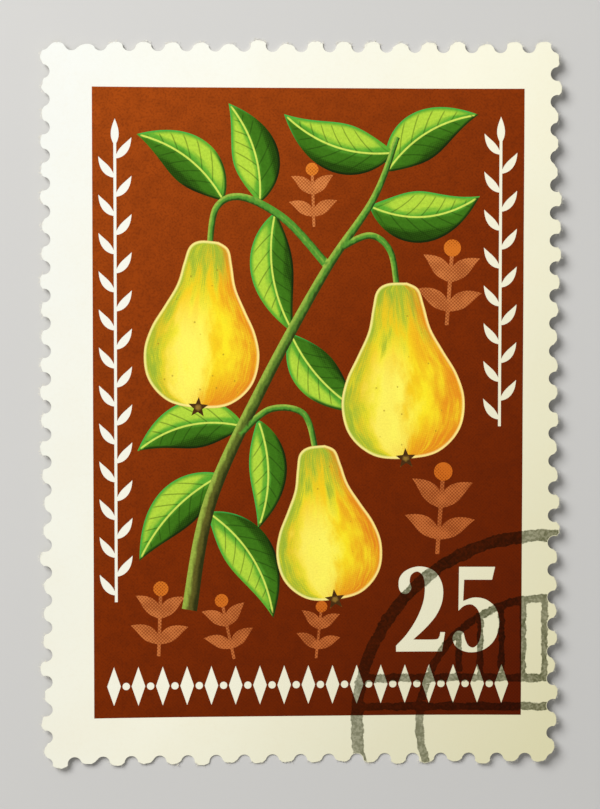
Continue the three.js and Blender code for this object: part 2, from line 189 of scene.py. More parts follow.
# Denomination: foot of each figure, and its outline at unit height in smooth runs between corners
FIGURE_HEIGHT = 5.1
FIGURE_FEET = [(5.5, -14.45), (8.75, -14.45)]
FIGURES = [
    [
        [(0.02, 0), (0.55, 0)],
        [(0.55, 0), (0.585, 0.225)],
        [(0.585, 0.225), (0.53, 0.225)],
        [(0.53, 0.225), (0.515, 0.165), (0.465, 0.14), (0.22, 0.14)],
        [(0.22, 0.14), (0.37, 0.28), (0.49, 0.43), (0.555, 0.6), (0.55, 0.78), (0.46, 0.93), (0.3, 0.985),
         (0.15, 0.95), (0.06, 0.86), (0.05, 0.74), (0.09, 0.675), (0.155, 0.675), (0.195, 0.735), (0.175, 0.81),
         (0.195, 0.89), (0.265, 0.925), (0.33, 0.87), (0.35, 0.74), (0.33, 0.57), (0.255, 0.38), (0.14, 0.2),
         (0.02, 0.07)],
        [(0.02, 0.07), (0.02, 0)],
    ],
    [
        [(0.105, 0.98), (0.52, 0.98)],
        [(0.52, 0.98), (0.485, 0.83)],
        [(0.485, 0.83), (0.165, 0.83)],
        [(0.165, 0.83), (0.155, 0.585)],
        [(0.155, 0.585), (0.28, 0.625), (0.42, 0.6), (0.53, 0.5), (0.57, 0.33), (0.52, 0.14), (0.39, 0.02),
         (0.22, -0.01), (0.08, 0.05), (0.035, 0.16), (0.085, 0.235), (0.155, 0.22), (0.18, 0.14), (0.22, 0.065),
         (0.285, 0.05), (0.345, 0.13), (0.365, 0.3), (0.335, 0.46), (0.26, 0.54), (0.17, 0.53), (0.1, 0.47)],
        [(0.1, 0.47), (0.105, 0.98)],
    ],
]

# Cancel: two rings, two bars and hatching, about a centre near the corner
CANCEL_CENTRE = (14.3, -18.6)
CANCEL_MARGIN = 0.03  # how far from the paper's edge the ink stays
CANCEL_RINGS = [(11.0, 0.45), (7.3, 0.33)]  # radius and half width
BAR_RISES = [2.6, 0.9]
BAR_HALF_HEIGHT = 0.33
HATCH_LINES = 5
HATCH_SPACING = 1.25
HATCH_HALF_WIDTH = 0.28

# Printer's screens: the distance between dots
TINT_SCREEN = 0.14
FINE_SCREEN = 0.11

# How much of the darkening towards the lower right goes sideways, and the rest down: toning and painted shade on the
# paper, uneven ink and painted shade on the ground and its tints
PAPER_SIDEWAYS = 0.6
GROUND_SIDEWAYS = 0.42

# Uneven paper and ink: waves in a millimetre, detail, where the noise begins and ends to count, and strength there
PAPER_CLOUDS = (0.35, 4, 0.35, 0.7, 0, 0.05)
PAPER_SPECKS = (5.0, 3, 0.45, 0.8, 0, 0.05)
TORN_SHADES = (9, 3, 0.3, 0.7, 0, 1)
BACK_STAINS = (0.18, 4, 0.45, 0.7, 0, 0.3)
GROUND_MOTTLING = (1.1, 5, 0.35, 0.7, 0, 0.16)
GROUND_GRAIN = (8.5, 2, 0.4, 0.75, 0, 0.35)
CANCEL_PATCHES = (0.9, 5, 0.36, 0.56, 0.88, 1)
CANCEL_MOTTLING = (6.0, 3, 0.36, 0.58, 0.79, 1)
FLOOR_CLOUDS = (0.03, 3, 0.3, 0.7, 0, 0.06)

# The cancel's ink
CANCEL_RAGGED = [(1.8, 4, 0.34), (7, 2, 0.12)]  # waves in a millimetre, detail and depth of its ragged edges
CANCEL_SPREAD = 0.16  # how far the edges stand out before they are ragged
CANCEL_SOFTNESS = 0.06
CANCEL_RIM = (0.16, 0.04, 0.93, 0.99)  # depth inside a stroke and at its rim, and the density at each
CANCEL_PRESSURE = (-0.45, 0.05, 0.88, 1.0)  # the same from the lower left to the upper right
CANCEL_WAY = (0.03, 0.03, 0)

# Lines drawn inside an edge: the distance from it at which each begins, and at which it is full
PEAR_RIM = (0.2, 0.06)
PEAR_OUTLINE = (0.07, 0.0)
LEAF_SHADOW = (0.2, 0.06)
LEAF_FRINGE = (0.1, 0.03)
LEAF_RIB = (0.075, 0.03)
VEIN_SPACING = 0.92
VEIN_SLANT = 1.15

# How far apart in the noise two pears, or two leaves, take their strokes
PEAR_APART = 3.1
LEAF_APART = 2.7

# The sheet's faces: how steep its sides are, and the place of each finish
FACING = 0.7
COATED, TORN, BACK = range(3)

# How fine the meshes are
CURL_GRID = 0.9
PEAR_GRID = 0.28
LEAF_GRID = 0.22
STROKE_STEP = 0.25
OUTLINE_STEP = 0.6
WELD = 1e-5
SHARP_ANGLE = math.radians(35)

# How many parts a smooth outline is drawn in
STROKE_PARTS = 48
LEAF_PARTS = 40
MIDRIB_PARTS = 24
PEAR_PARTS = 160
SPRIG_STEM_PARTS = 12
SPRIG_LEAF_PARTS = 16
GARLAND_LEAF_PARTS = 14
FIGURE_PARTS = 8
BERRY_SIDES = 32
DOT_SIDES = 16
RING_SIDES = 240

LIGHT_WAY = np.array([-0.7071, 0.7071])  # towards the light that the motifs are drawn in
LIGHT_CONTRAST = 1.6  # how strongly a stroke's direction tells in the light on its sides
CROWN_LIGHT = 0.35  # light along the middle of a stroke that runs with the light
CROWN_FALL = 0.9  # how much of it is lost at its sides

# Stage, in metres and degrees
FLOOR_DROP = 0.000004  # keeps the floor clear of the paper
LAMPS = {  # size, place and colour
    "key": (0.16, (-0.16, 0.15, 0.2), (1.0, 0.99, 0.98)),
    "fill": (0.3, (-0.02, -0.17, 0.33), (1.0, 0.98, 0.95)),
}
ROOM_COLOUR = (1.0, 0.98, 0.95, 1)
ROOM_STRENGTH = 0.3
CAMERA_LENS = 100.4
CAMERA_SENSOR = 36
CAMERA_CLIP = (0.005, 5)
CAMERA_PLACE = (-0.00747, 0.0071, 0.13102)
CAMERA_TURN = (-3.065, -3.24, 0.051)


def tone(red, green, blue):
    """Linear colour of the usual values from 0 to 255."""
    return tuple((v / 255 / 12.92) if v < 10.3 else ((v / 255 + 0.055) / 1.055) ** 2.4 for v in (red, green, blue))


# Colours of the small marks in each finish
PAPER_CLOUD = tone(226, 206, 160)
PAPER_SPECK = tone(214, 196, 150)
TORN_SHADE = tone(226, 220, 200)
BACK_STAIN = tone(222, 196, 148)
BACK_FIBRE = tone(196, 178, 140)
GROUND_DARK_PATCH = tone(60, 16, 3)
GROUND_DARK_GRAIN = tone(70, 22, 5)
GROUND_DOT = tone(190, 92, 40)
PEAR_SPECK = tone(150, 120, 30)
PEAR_LINE = tone(205, 150, 60)
LEAF_LEE = tone(20, 30, 8)
BRANCH_LIT = tone(166, 194, 76)
BRANCH_SHADE = tone(30, 36, 8)
CALYX_MIDDLE = tone(150, 116, 48)
CALYX_EDGE = tone(150, 110, 40)
FLOOR_SHADE = (0.4, 0.4, 0.39)


# Outlines


def placed(point, turn, scale, points):
    """Points of a unit drawing, scaled, turned by degrees and moved to a point."""
    c, s = math.cos(math.radians(turn)) * scale, math.sin(math.radians(turn)) * scale
    return np.array(point) + np.asarray(points, float) @ np.array([[c, s], [-s, c]])


def line_through(points, steps):
    """Points and unit directions along the smooth line through the given points."""
    p = np.array(points, float)
    last = len(p) - 1
    at = np.linspace(0, last, steps + 1)
    i = np.minimum(at.astype(int), last - 1)
    t = (at - i)[:, None]
    start, end = p[i], p[i + 1]
    leave = (end - p[np.maximum(i - 1, 0)]) / 2
    arrive = (p[np.minimum(i + 2, last)] - start) / 2
    cubic = 2 * (start - end) + leave + arrive
    square = 3 * (end - start) - 2 * leave - arrive
    line = ((cubic * t + square) * t + leave) * t + start
    way = (3 * cubic * t + 2 * square) * t + leave
    return line, way / np.linalg.norm(way, axis=1, keepdims=True)


def ribbon(line, way, half):
    """The outline of a stroke, anticlockwise: its right side, then its left side back."""
    right = np.column_stack([way[:, 1], -way[:, 0]]) * np.asarray(half)[:, None]
    wide = np.asarray(half) > 1e-4
    return np.vstack([line + right, (line - right)[wide][::-1]])


def stroke(points, first, last, steps=STROKE_PARTS):
    """The outline of a stroke along the given points, from its first half width to its last."""
    line, way = line_through(points, steps)
    return ribbon(line, way, np.linspace(first, last, steps + 1))


def midrib(base, tip, bow, steps=LEAF_PARTS):
    """Points and directions along a leaf's bowed midrib."""
    base, tip = np.array(base, float), np.array(tip, float)
    along = (tip - base) / np.linalg.norm(tip - base)
    middle = (base + tip) / 2 + 2 * bow * np.array([-along[1], along[0]])
    u = np.linspace(0, 1, steps + 1)[:, None]
    line = (1 - u) ** 2 * base + 2 * u * (1 - u) * middle + u**2 * tip
    way = (1 - u) * (middle - base) + u * (tip - middle)
    return line, way / np.linalg.norm(way, axis=1, keepdims=True)


def leaf_outline(base, tip, bow, width, steps=LEAF_PARTS):
    """A leaf that is widest a little before its middle."""
    line, way = midrib(base, tip, bow, steps)
    half = width / 2 * np.abs(np.sin(np.pi * np.linspace(0, 1, steps + 1) ** LEAF_FULLNESS))
    half[-1] = 0
    return ribbon(line, way, half)


def circle(centre, radius, sides):
    a = np.arange(sides) / sides * 2 * np.pi
    return np.array(centre) + radius * np.column_stack([np.cos(a), np.sin(a)])


def block(x, y, half_x, half_y):
    return np.array([(x - half_x, y - half_y), (x + half_x, y - half_y),
                     (x + half_x, y + half_y), (x - half_x, y + half_y)])


def pear_outline(top, length, width, lean):
    """A pear from its two like halves, anticlockwise."""
    half = [(x * width / length, y) for x, y in PEAR_HALF]
    points = half + [(-x, y) for x, y in reversed(half)] + half[:1]
    line, _ = line_through(placed(top, lean, length, points), PEAR_PARTS)
    return line[:-1][::-1]


def calyx_outline(top, length, _, lean):
    """The star at the foot of a pear."""
    centre = placed(top, lean, length, [(0, CALYX_HEIGHT)])[0]
    tips = circle((0, 0), 1, 2 * CALYX_POINTS)
    tips[1::2] *= CALYX_NOTCH
    return placed(centre, lean + 90, CALYX_RADIUS, tips)


def sprig_outlines(foot, height, lean):
    """A straight stem and its two pairs of leaves."""
    half = SPRIG_STEM_HALF * height
    loops = [stroke(placed(foot, lean, height, [(0, 0), (0, BERRY_HEIGHT)]), half, half, SPRIG_STEM_PARTS)]
    for base, (x, y) in SPRIG_PAIRS:
        for side in (-1, 1):
            ends = placed(foot, lean, height, [base, (side * x, y)])
            bow, width = SPRIG_LEAF_BOW * side * height, SPRIG_LEAF_WIDTH * height
            loops.append(leaf_outline(*ends, bow, width, SPRIG_LEAF_PARTS))
    return loops


def berry_outline(foot, height, lean):
    centre = placed(foot, lean, height, [(0, BERRY_HEIGHT)])[0]
    return circle(centre, BERRY_RADIUS * height, BERRY_SIDES)


def garland_outlines(x, low, high):
    """An upright stem with leaves to its left and right in turn, and one on top."""
    length, width, bow, lean = GARLAND_LEAF

    def leaf(y, side):
        tip = placed((x, y), -side * lean, length, [(0, 1)])[0]
        return leaf_outline((x, y), tip, -side * bow, width, GARLAND_LEAF_PARTS)

    top = high - length
    loops = [block(x, (low + high - length / 2) / 2, GARLAND_STEM_HALF, (high - length / 2 - low) / 2)]
    y = low + GARLAND_FIRST
    while y < top:
        loops.append(leaf(y, -1 if len(loops) % 2 else 1))
        y += GARLAND_SPACING
    loops.append(leaf(top, 0))
    return loops


def band_outlines():
    """A row of lozenges, with a dot between each two."""
    left, right = BAND_ENDS
    pitch = (right - left) / (LOZENGES - 1)
    half_x, half_y = LOZENGE[0] / 2, LOZENGE[1] / 2
    loops = []
    for i in range(LOZENGES):
        x = left + i * pitch
        corners = [(x - half_x, BAND_Y), (x, BAND_Y - half_y), (x + half_x, BAND_Y), (x, BAND_Y + half_y)]
        loops.append(np.array(corners))
        if i:
            loops.append(circle((x - pitch / 2, BAND_Y), BAND_DOT, DOT_SIDES))
    return loops


def figure_outline(runs, foot):
    """A figure whose outline is smooth within each run and has a corner between two."""
    parts = [line_through(run, FIGURE_PARTS * (len(run) - 1) if len(run) > 2 else 1)[0][:-1] for run in runs]
    return placed(foot, 0, FIGURE_HEIGHT, np.vstack(parts))


def cancel_blocks():
    """The cancel's straight strokes: middle and half sizes, from its centre."""
    outer, inner = CANCEL_RINGS[0][0], CANCEL_RINGS[1][0]
    blocks = [(0, rise, math.sqrt(outer**2 - rise**2), BAR_HALF_HEIGHT) for rise in BAR_RISES]
    low = BAR_RISES[0]
    for i in range(HATCH_LINES):
        high = math.sqrt(inner**2 - (i * HATCH_SPACING) ** 2)
        blocks.append((-i * HATCH_SPACING, (high + low) / 2, HATCH_HALF_WIDTH, (high - low) / 2))
    return blocks


def cancel_outlines():
    """Both sides of each ring, and the straight strokes."""
    loops = [circle(CANCEL_CENTRE, radius + side * half, RING_SIDES)
             for radius, half in CANCEL_RINGS for side in (1, -1)]
    cx, cy = CANCEL_CENTRE
    return loops + [block(cx + x, cy + y, w, h) for x, y, w, h in cancel_blocks()]


def cancel_depth(points):
    """How deep in a stroke of the cancel each point lies, and 0 outside it."""
    rel = points - np.array(CANCEL_CENTRE)
    away = np.hypot(rel[:, 0], rel[:, 1])
    depths = [half - np.abs(away - radius) for radius, half in CANCEL_RINGS]
    for x, y, w, h in cancel_blocks():
        depths.append(np.minimum(w - np.abs(rel[:, 0] - x), h - np.abs(rel[:, 1] - y)))
    return np.maximum(0, np.max(depths, axis=0))


def torn_edge(length, teeth, draw):
    """How far in from the box the sheet's torn edge lies, at even steps along one side."""
    pitch = length / teeth
    end = length / 2 + TEAR_REACH
    places = np.linspace(-end, end, round(2 * end / TEAR_STEP) + 1)
    seed = Vector((draw.uniform(0, 100), draw.uniform(0, 100), 0))
    short = [draw.uniform(-TEAR_LONG, TEAR_SHORT) for _ in range(teeth)]
    slant = [draw.uniform(-TEAR_SLANT, TEAR_SLANT) for _ in range(teeth)]
    corner, flat, span = TEAR_ROUNDING
    drops = []
    for s in places:
        tooth = min(max(int((s + length / 2) // pitch), 0), teeth - 1)
        off_middle = s + length / 2 - (tooth + 0.5) * pitch
        rounded = corner * min(max(abs(off_middle) - flat, 0) / span, 1) ** 2
        torn = sum(depth * abs(noise.noise(seed + Vector((s * waves, row, 0)))) for depth, waves, row in TEAR_WAVES)
        leaning = max(slant[tooth] * (off_middle / pitch + TEAR_SLANT_START), 0)
        drops.append(rounded + torn + short[tooth] + leaning + TEAR_INSET)
    return places, np.array(drops)


@functools.cache
def torn_outline(seed, margin=0.0):
    """The sheet's four torn edges, anticlockwise and a margin inside, before the holes are punched."""
    draw = random.Random(seed)
    right, top = HOLE_LINE
    wide, high = torn_edge(2 * right, TEETH_ACROSS, draw), torn_edge(2 * top, TEETH_UP, draw)
    wide_too, high_too = torn_edge(2 * right, TEETH_ACROSS, draw), torn_edge(2 * top, TEETH_UP, draw)
    x, y = HALF_WIDTH - margin, HALF_HEIGHT - margin
    sides = [
        np.column_stack([wide[0], wide[1] - y]),
        np.column_stack([x - high[1], high[0]]),
        np.column_stack([-wide_too[0], y - wide_too[1]]),
        np.column_stack([high_too[1] - x, -high_too[0]]),
    ]
    return np.vstack([side[CORNER_STEPS:-CORNER_STEPS] for side in sides])


def hole_outlines(radius):
    """The holes that the cancel may reach."""
    right, top = HOLE_LINE
    across, up = np.linspace(-right, right, TEETH_ACROSS + 1), np.linspace(-top, top, TEETH_UP + 1)
    centres = [(x, -top) for x in across] + [(right, y) for y in up[1:]]
    reach = CANCEL_RINGS[0][0] + CANCEL_RINGS[0][1] + radius
    return [circle(c, radius, PIN_SIDES) for c in centres if math.dist(c, CANCEL_CENTRE) < reach]


# Measures of a point against an outline or a line


def nearest_side(points, loop):
    """Each point's distance to a closed outline, and the outward direction of the side that is nearest."""
    edge = np.roll(loop, -1, axis=0) - loop
    rel = points[:, None] - loop[None]
    t = np.clip((rel * edge).sum(2) / np.maximum((edge * edge).sum(1), TINY), 0, 1)
    away = rel - t[..., None] * edge
    gap = np.hypot(away[..., 0], away[..., 1])
    best = gap.argmin(1)
    out = np.column_stack([edge[:, 1], -edge[:, 0]]) / np.maximum(np.hypot(*edge.T), TINY)[:, None]
    return gap.min(1), out[best]


def subdivided(loop, step):
    """The same outline with no side longer than a step."""
    after = np.roll(loop, -1, axis=0)
    counts = np.ceil(np.hypot(*(after - loop).T) / step).astype(int)
    return np.vstack([p + (q - p) * np.arange(n)[:, None] / n for p, q, n in zip(loop, after, counts) if n])


def inside(points, loop):
    """Which points lie inside a closed outline."""
    a, b = loop, np.roll(loop, -1, axis=0)
    x, y = points[:, :1], points[:, 1:]
    spans = (a[:, 1] > y) != (b[:, 1] > y)
    rise = np.where(b[:, 1] == a[:, 1], TINY, b[:, 1] - a[:, 1])
    crossing = (b[:, 0] - a[:, 0]) * (y - a[:, 1]) / rise + a[:, 0]
    return (spans & (x < crossing)).sum(1) % 2 == 1


def along_line(points, line):
    """How far along a line each point lies, from 0 to 1, and how far to its left."""
    edge = line[1:] - line[:-1]
    rel = points[:, None] - line[None, :-1]
    t = np.clip((rel * edge).sum(2) / (edge * edge).sum(1), 0, 1)
    away = rel - t[..., None] * edge
    gap = np.hypot(away[..., 0], away[..., 1])
    best = gap.argmin(1)
    every = np.arange(len(points))
    left = np.cross(edge[best], rel[every, best])
    return (best + t[every, best]) / len(edge), gap[every, best] * np.sign(left)


def fill(loop, step):
    """Points inside an outline, spread evenly and clear of it."""
    row_height, clearance = step * 0.866, step * 0.35
    low, high = loop.min(0), loop.max(0)
    rows = np.arange(low[1] + step / 2, high[1], row_height)
    grid = [(x + (i % 2) * step / 2, y) for i, y in enumerate(rows) for x in np.arange(low[0], high[0], step)]
    grid = np.array(grid)
    grid = grid[inside(grid, loop)]
    return grid[nearest_side(grid, loop)[0] > clearance]


# The printed drawing, as one net of triangles that every ink shares


def motifs():
    """Name, outlines and inner points of each motif, from the front back."""
    made = []

    def filled(name, loop, step):
        made.append((name, [loop], fill(loop, step)))

    for i, pear in enumerate(PEARS, 1):
        star = calyx_outline(*pear)
        made.append((f"calyx_ink_{i}", [star], star.mean(0)[None]))
    for i, pear in enumerate(PEARS, 1):
        filled(f"pear_ink_{i}", pear_outline(*pear), PEAR_GRID)
    middles = [line_through(line, int(np.hypot(*np.diff(line, axis=0).T).sum() / STROKE_STEP))[0][1:-1]
               for line, _, _ in STROKES]
    made.append(("branch_ink", [stroke(*s) for s in STROKES], np.vstack(middles)))
    for i, leaf in enumerate(LEAVES, 1):
        loop = leaf_outline(*leaf)
        inner = np.vstack([fill(loop, LEAF_GRID), midrib(*leaf[:3], MIDRIB_PARTS)[0][1:-1]])
        made.append((f"leaf_ink_{i}", [loop], inner))
    for i, sprig in enumerate(SPRIGS, 1):
        filled(f"berry_tint_{i}", berry_outline(*sprig), LEAF_GRID)
    nothing = np.empty((0, 2))
    made += [(f"sprig_tint_{i}", sprig_outlines(*sprig), nothing) for i, sprig in enumerate(SPRIGS, 1)]
    white = [loop for garland in GARLANDS for loop in garland_outlines(*garland)] + band_outlines()
    white += [figure_outline(runs, foot) for runs, foot in zip(FIGURES, FIGURE_FEET)]
    made.append(("white", white, nothing))
    filled("ground_ink", block(*PANEL_CENTRE, *PANEL_HALF), CURL_GRID)
    return made


def cancel_middles():
    """Points along the middle of the cancel's strokes."""
    cx, cy = CANCEL_CENTRE
    lines = [circle(CANCEL_CENTRE, radius, int(2 * np.pi * radius / STROKE_STEP)) for radius, _ in CANCEL_RINGS]
    for x, y, w, h in cancel_blocks():
        count = int(max(w, h) * 2 / STROKE_STEP)
        reach = np.linspace(-1, 1, count + 2)[1:-1] * (max(w, h) - min(w, h))
        line = np.column_stack([reach, 0 * reach]) if w > h else np.column_stack([0 * reach, reach])
        lines.append(line + (cx + x, cy + y))
    return np.vstack(lines)


@functools.cache
def drawing(tear_seed, hole_radius):
    """The net's points, its triangles, and the name of the ink that shows on each."""
    names, loops, inner = [], [], []
    for name, outlines, points in motifs():
        names += [name] * len(outlines)
        loops += outlines
        inner.append(points)
    for loop in cancel_outlines():
        names.append("cancel")
        loops.append(loop)
    names.append("sheet")
    loops.append(torn_outline(tear_seed, CANCEL_MARGIN))
    for loop in hole_outlines(hole_radius + CANCEL_MARGIN):
        names.append("hole")
        loops.append(loop)
    inner.append(cancel_middles())
    corners, faces = [], []
    for loop in loops:
        x, y = loop.T
        turn = (x * np.roll(y, -1) - np.roll(x, -1) * y).sum()
        loop = subdivided(loop if turn > 0 else loop[::-1], OUTLINE_STEP)
        faces.append(list(range(len(corners), len(corners) + len(loop))))
        corners += [Vector(p) for p in loop]
    corners += [Vector(p) for p in np.vstack(inner)]
    points, _, triangles, _, _, sources = delaunay_2d_cdt(corners, [], faces, 1, WELD)
    points = np.array([tuple(p) for p in points])
    triangles = np.array(triangles)
    struck = cancel_depth(points[triangles].mean(1)) > 0
    shown = []
    for source, hit in zip(sources, struck):
        covers = [names[i] for i in sorted(source)] or [""]
        on_sheet = "sheet" in covers and "hole" not in covers
        on_paper = hit and on_sheet and covers[0] in ("white", "cancel", "sheet")
        shown.append("cancel_ink" if on_paper else covers[0])
    return points, triangles, np.array(shown)


# Meshes


def lie(x, y):
    """Height of the paper's underside above the surface that it lies on."""
    past = np.maximum(np.abs(x) - FLAT_HALF_WIDTH, 0) / (HALF_WIDTH - FLAT_HALF_WIDTH)
    cockle = 1 - COCKLE * (0.5 + 0.5 * np.sin(2 * np.pi * y / COCKLE_LENGTH + np.sign(x)))
    return np.where(x < 0, RISE_LEFT, RISE_RIGHT) * past**2 * cockle


def film(name, ink, top=PRINT_TOP):
    """The closed film of one ink on the paper, with the curl, and the places of its points when flat."""
    sizes = bpy.context.scene.stamp_sizes
    points, triangles, shown = drawing(sizes.tear_seed, sizes.hole_radius * METRE)
    mine = triangles[shown == ink]
    if not len(mine):
        raise RuntimeError(f"no face of the drawing shows {ink}")
    used, numbers = np.unique(mine, return_inverse=True)
    mine = numbers.reshape(mine.shape)
    flat = points[used]
    under = lie(flat[:, 0], flat[:, 1])
    count = len(flat)
    corners = np.vstack([np.column_stack([flat, under + height]) for height in (top, PAPER_TOP)])
    edges = {(a, b) for t in mine for a, b in zip(t, np.roll(t, -1))}
    walls = [(a, a + count, b + count, b) for a, b in sorted(edges) if (b, a) not in edges]
    faces = [tuple(t) for t in mine] + [tuple(t[::-1] + count) for t in mine] + walls
    mesh = bpy.data.meshes.new(name)
    mesh.from_pydata(corners / METRE, [], faces)
    smooth_tops(mesh)
    note(mesh, "cancel", cancel_depth(flat))
    return mesh, flat


def smooth_tops(mesh):
    """Shades a mesh smoothly between its sharp edges."""
    mesh.polygons.foreach_set("use_smooth", [True] * len(mesh.polygons))
    mesh.set_sharp_from_angle(angle=SHARP_ANGLE)
    mesh.update()


def note(mesh, name, values):
    """Keeps a value of each point for the material, on both sides of a film."""
    layer = mesh.attributes.new(name, "FLOAT", "POINT")
    layer.data.foreach_set("value", np.concatenate([values, values]).astype(np.float32))


def hand_over(mesh, slot, solids, *materials):
    """Puts a finished piece in place of its solids, after its size is tested against theirs."""
    piece = bpy.data.objects.new(mesh.name, mesh)
    bpy.context.scene.collection.objects.link(piece)
    mesh.materials.clear()
    for material in materials:
        mesh.materials.append(material)
    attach(piece, "root")
    if solids:
        corners = [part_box(node) for node in solids]
        low = np.min([c[0] for c in corners], axis=0)
        high = np.max([c[1] for c in corners], axis=0)
        at = np.array([v.co for v in mesh.vertices])
        off = max(np.abs(at.min(0) - low).max(), np.abs(at.max(0) - high).max()) * METRE
        if off > FIT:
            raise RuntimeError(f"{mesh.name} differs from its solid by {off:.3f} mm")
        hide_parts(*solids)
    return piece


# Nodes


class Bench:
    """Adds nodes to one tree and joins them up."""

    def __init__(self, tree):
        self.tree = tree

    def feed(self, socket, value):
        """Joins a socket to another one, or sets its value."""
        if isinstance(value, bpy.types.NodeSocket):
            self.tree.links.new(value, socket)
        else:
            socket.default_value = value

    def add(self, kind, feeds=None, **settings):
        """A new node, set up and with its inputs fed."""
        node = self.tree.nodes.new(kind)
        for name, value in settings.items():
            setattr(node, name, value)
        for socket, value in (feeds or {}).items():
            self.feed(node.inputs[socket], value)
        return node

    def math(self, operation, *values, clamp=False):
        return self.add("ShaderNodeMath", dict(enumerate(values)), operation=operation, use_clamp=clamp).outputs[0]

    def plus(self, *values):
        return functools.reduce(lambda a, b: self.math("ADD", a, b), values)

    def times(self, *values):
        return functools.reduce(lambda a, b: self.math("MULTIPLY", a, b), values)


class Finish(Bench):
    """One printed or paper finish, with its patterns in millimetres."""

    def __init__(self, name, roughness, gloss):
        self.material = bpy.data.materials.new(name)
        self.material.use_nodes = True
        super().__init__(self.material.node_tree)
        self.shader = self.tree.nodes["Principled BSDF"]
        self.shader.inputs["Roughness"].default_value = roughness
        self.shader.inputs["Specular IOR Level"].default_value = gloss
        where = self.add("ShaderNodeTexCoord").outputs["Object"]
        self.place = self.add("ShaderNodeMapping", {"Vector": where, "Scale": (METRE,) * 3}).outputs[0]

    def read(self, name):
        """A value that the mesh keeps for each point."""
        return self.add("ShaderNodeAttribute", attribute_name=name).outputs["Fac"]

    def step(self, value, low, high, start=0.0, end=1.0):
        """Goes smoothly from start to end as a value goes from low to high."""
        feeds = {0: value, 1: low, 2: high, 3: start, 4: end}
        return self.add("ShaderNodeMapRange", feeds, interpolation_type="SMOOTHSTEP").outputs[0]

    def mix(self, amount, first, second, blend="MIX"):
        first, second = (v if isinstance(v, bpy.types.NodeSocket) else (*v, 1) for v in (first, second))
        feeds = {0: amount, 6: first, 7: second}
        return self.add("ShaderNodeMix", feeds, data_type="RGBA", blend_type=blend).outputs[2]

    def noise(self, scale, detail=2.0, at=None, stretch=(1, 1, 1), turn=0.0):
        """Noise with a number of waves in a millimetre."""
        feeds = {"Vector": at or self.place, "Scale": stretch, "Rotation": (0, 0, turn)}
        vector = self.add("ShaderNodeMapping", feeds).outputs[0]
        return self.add("ShaderNodeTexNoise", {"Vector": vector, "Scale": scale, "Detail": detail}).outputs["Fac"]

    def patches(self, scale, detail, low, high, start, end):
        """Uneven patches, from one strength to the other."""
        return self.step(self.noise(scale, detail), low, high, start, end)

    def wander(self, noise, reach):
        """Noise that strays half a reach to either side of nothing."""
        return self.math("MULTIPLY_ADD", noise, reach, -reach / 2)

    def vector(self, x, y, z):
        return self.add("ShaderNodeCombineXYZ", {0: x, 1: y, 2: z}).outputs[0]

    def towards(self, way):
        """How far along a direction each place lies, times the direction's length."""
        return self.add("ShaderNodeVectorMath", {0: self.place, 1: way}, operation="DOT_PRODUCT").outputs["Value"]

    def across_sheet(self, side):
        """From 0 at the sheet's top left to 1 at its lower right, with the share that goes sideways."""
        way = (side / 2 / HALF_WIDTH, (side - 1) / 2 / HALF_HEIGHT, 0)
        return self.math("ADD", self.towards(way), 0.5, clamp=True)

    def ramp(self, value, stops):
        """A colour that runs through the given stops, spaced evenly."""
        node = self.add("ShaderNodeValToRGB", {0: value})
        points = node.color_ramp.elements
        while len(points) < len(stops):
            points.new(0.5)
        for i, colour in enumerate(stops):
            points[i].position = i / (len(stops) - 1)
            points[i].color = (*colour, 1)
        return node.outputs[0]

    def screen(self, amount, pitch, degrees, softness=0.12):
        """Printer's dots that grow with the amount, from 0 to 1."""
        turn = 2 * math.pi / (pitch * math.sqrt(2))
        feeds = {"Vector": self.place, "Rotation": (0, 0, math.radians(degrees - 45)), "Scale": (turn, turn, 1)}
        split = self.add("ShaderNodeSeparateXYZ", {0: self.add("ShaderNodeMapping", feeds).outputs[0]})
        waves = self.times(*[self.math("SINE", split.outputs[i]) for i in (0, 1)])
        height = self.math("MULTIPLY_ADD", waves, 0.5, 0.5)
        return self.step(self.math("SUBTRACT", self.plus(height, amount), 1.0), -softness, softness)

    def dotted(self, amount, degrees, dots, flat):
        """An ink laid on partly as fine dots, which grow with its amount, and partly flat."""
        screened = self.screen(amount, FINE_SCREEN, degrees)
        return self.math("MULTIPLY_ADD", screened, dots, self.times(amount, flat))

    def grain(self, colour, depth, scale=7.0):
        """Fine dark unevenness of an ink."""
        return self.mix(self.patches(scale, 3, 0.3, 0.7, 0, depth), colour, (0, 0, 0))

    def struck(self, colour, ink):
        """A colour with the cancel over it: ragged and mottled strokes, darker at the rim and the upper right."""
        ragged = self.plus(*[self.times(self.noise(scale, detail), depth) for scale, detail, depth in CANCEL_RAGGED])
        depth = self.math("SUBTRACT", self.read("cancel"), self.math("SUBTRACT", ragged, CANCEL_SPREAD))
        density = self.times(
            self.step(depth, 0.0, CANCEL_SOFTNESS),
            self.step(self.read("cancel"), 0.0, 0.02),
            self.step(depth, *CANCEL_RIM),
            self.patches(*CANCEL_PATCHES),
            self.patches(*CANCEL_MOTTLING),
            self.step(self.towards(CANCEL_WAY), *CANCEL_PRESSURE))
        return self.mix(density, colour, self.mix(1.0, colour, ink, "MULTIPLY"))

    def bump(self, height, size):
        """Relief of a given size in millimetres."""
        feeds = {"Height": height, "Distance": size / METRE, "Strength": 1.0}
        self.feed(self.shader.inputs["Normal"], self.add("ShaderNodeBump", feeds).outputs[0])

    def done(self, colour):
        self.feed(self.shader.inputs["Base Color"], colour)
        return self.material

    def printed(self, colour, inks):
        """The finished material of a print, with the cancel over it."""
        return self.done(self.struck(colour, inks.cancel_on_print))


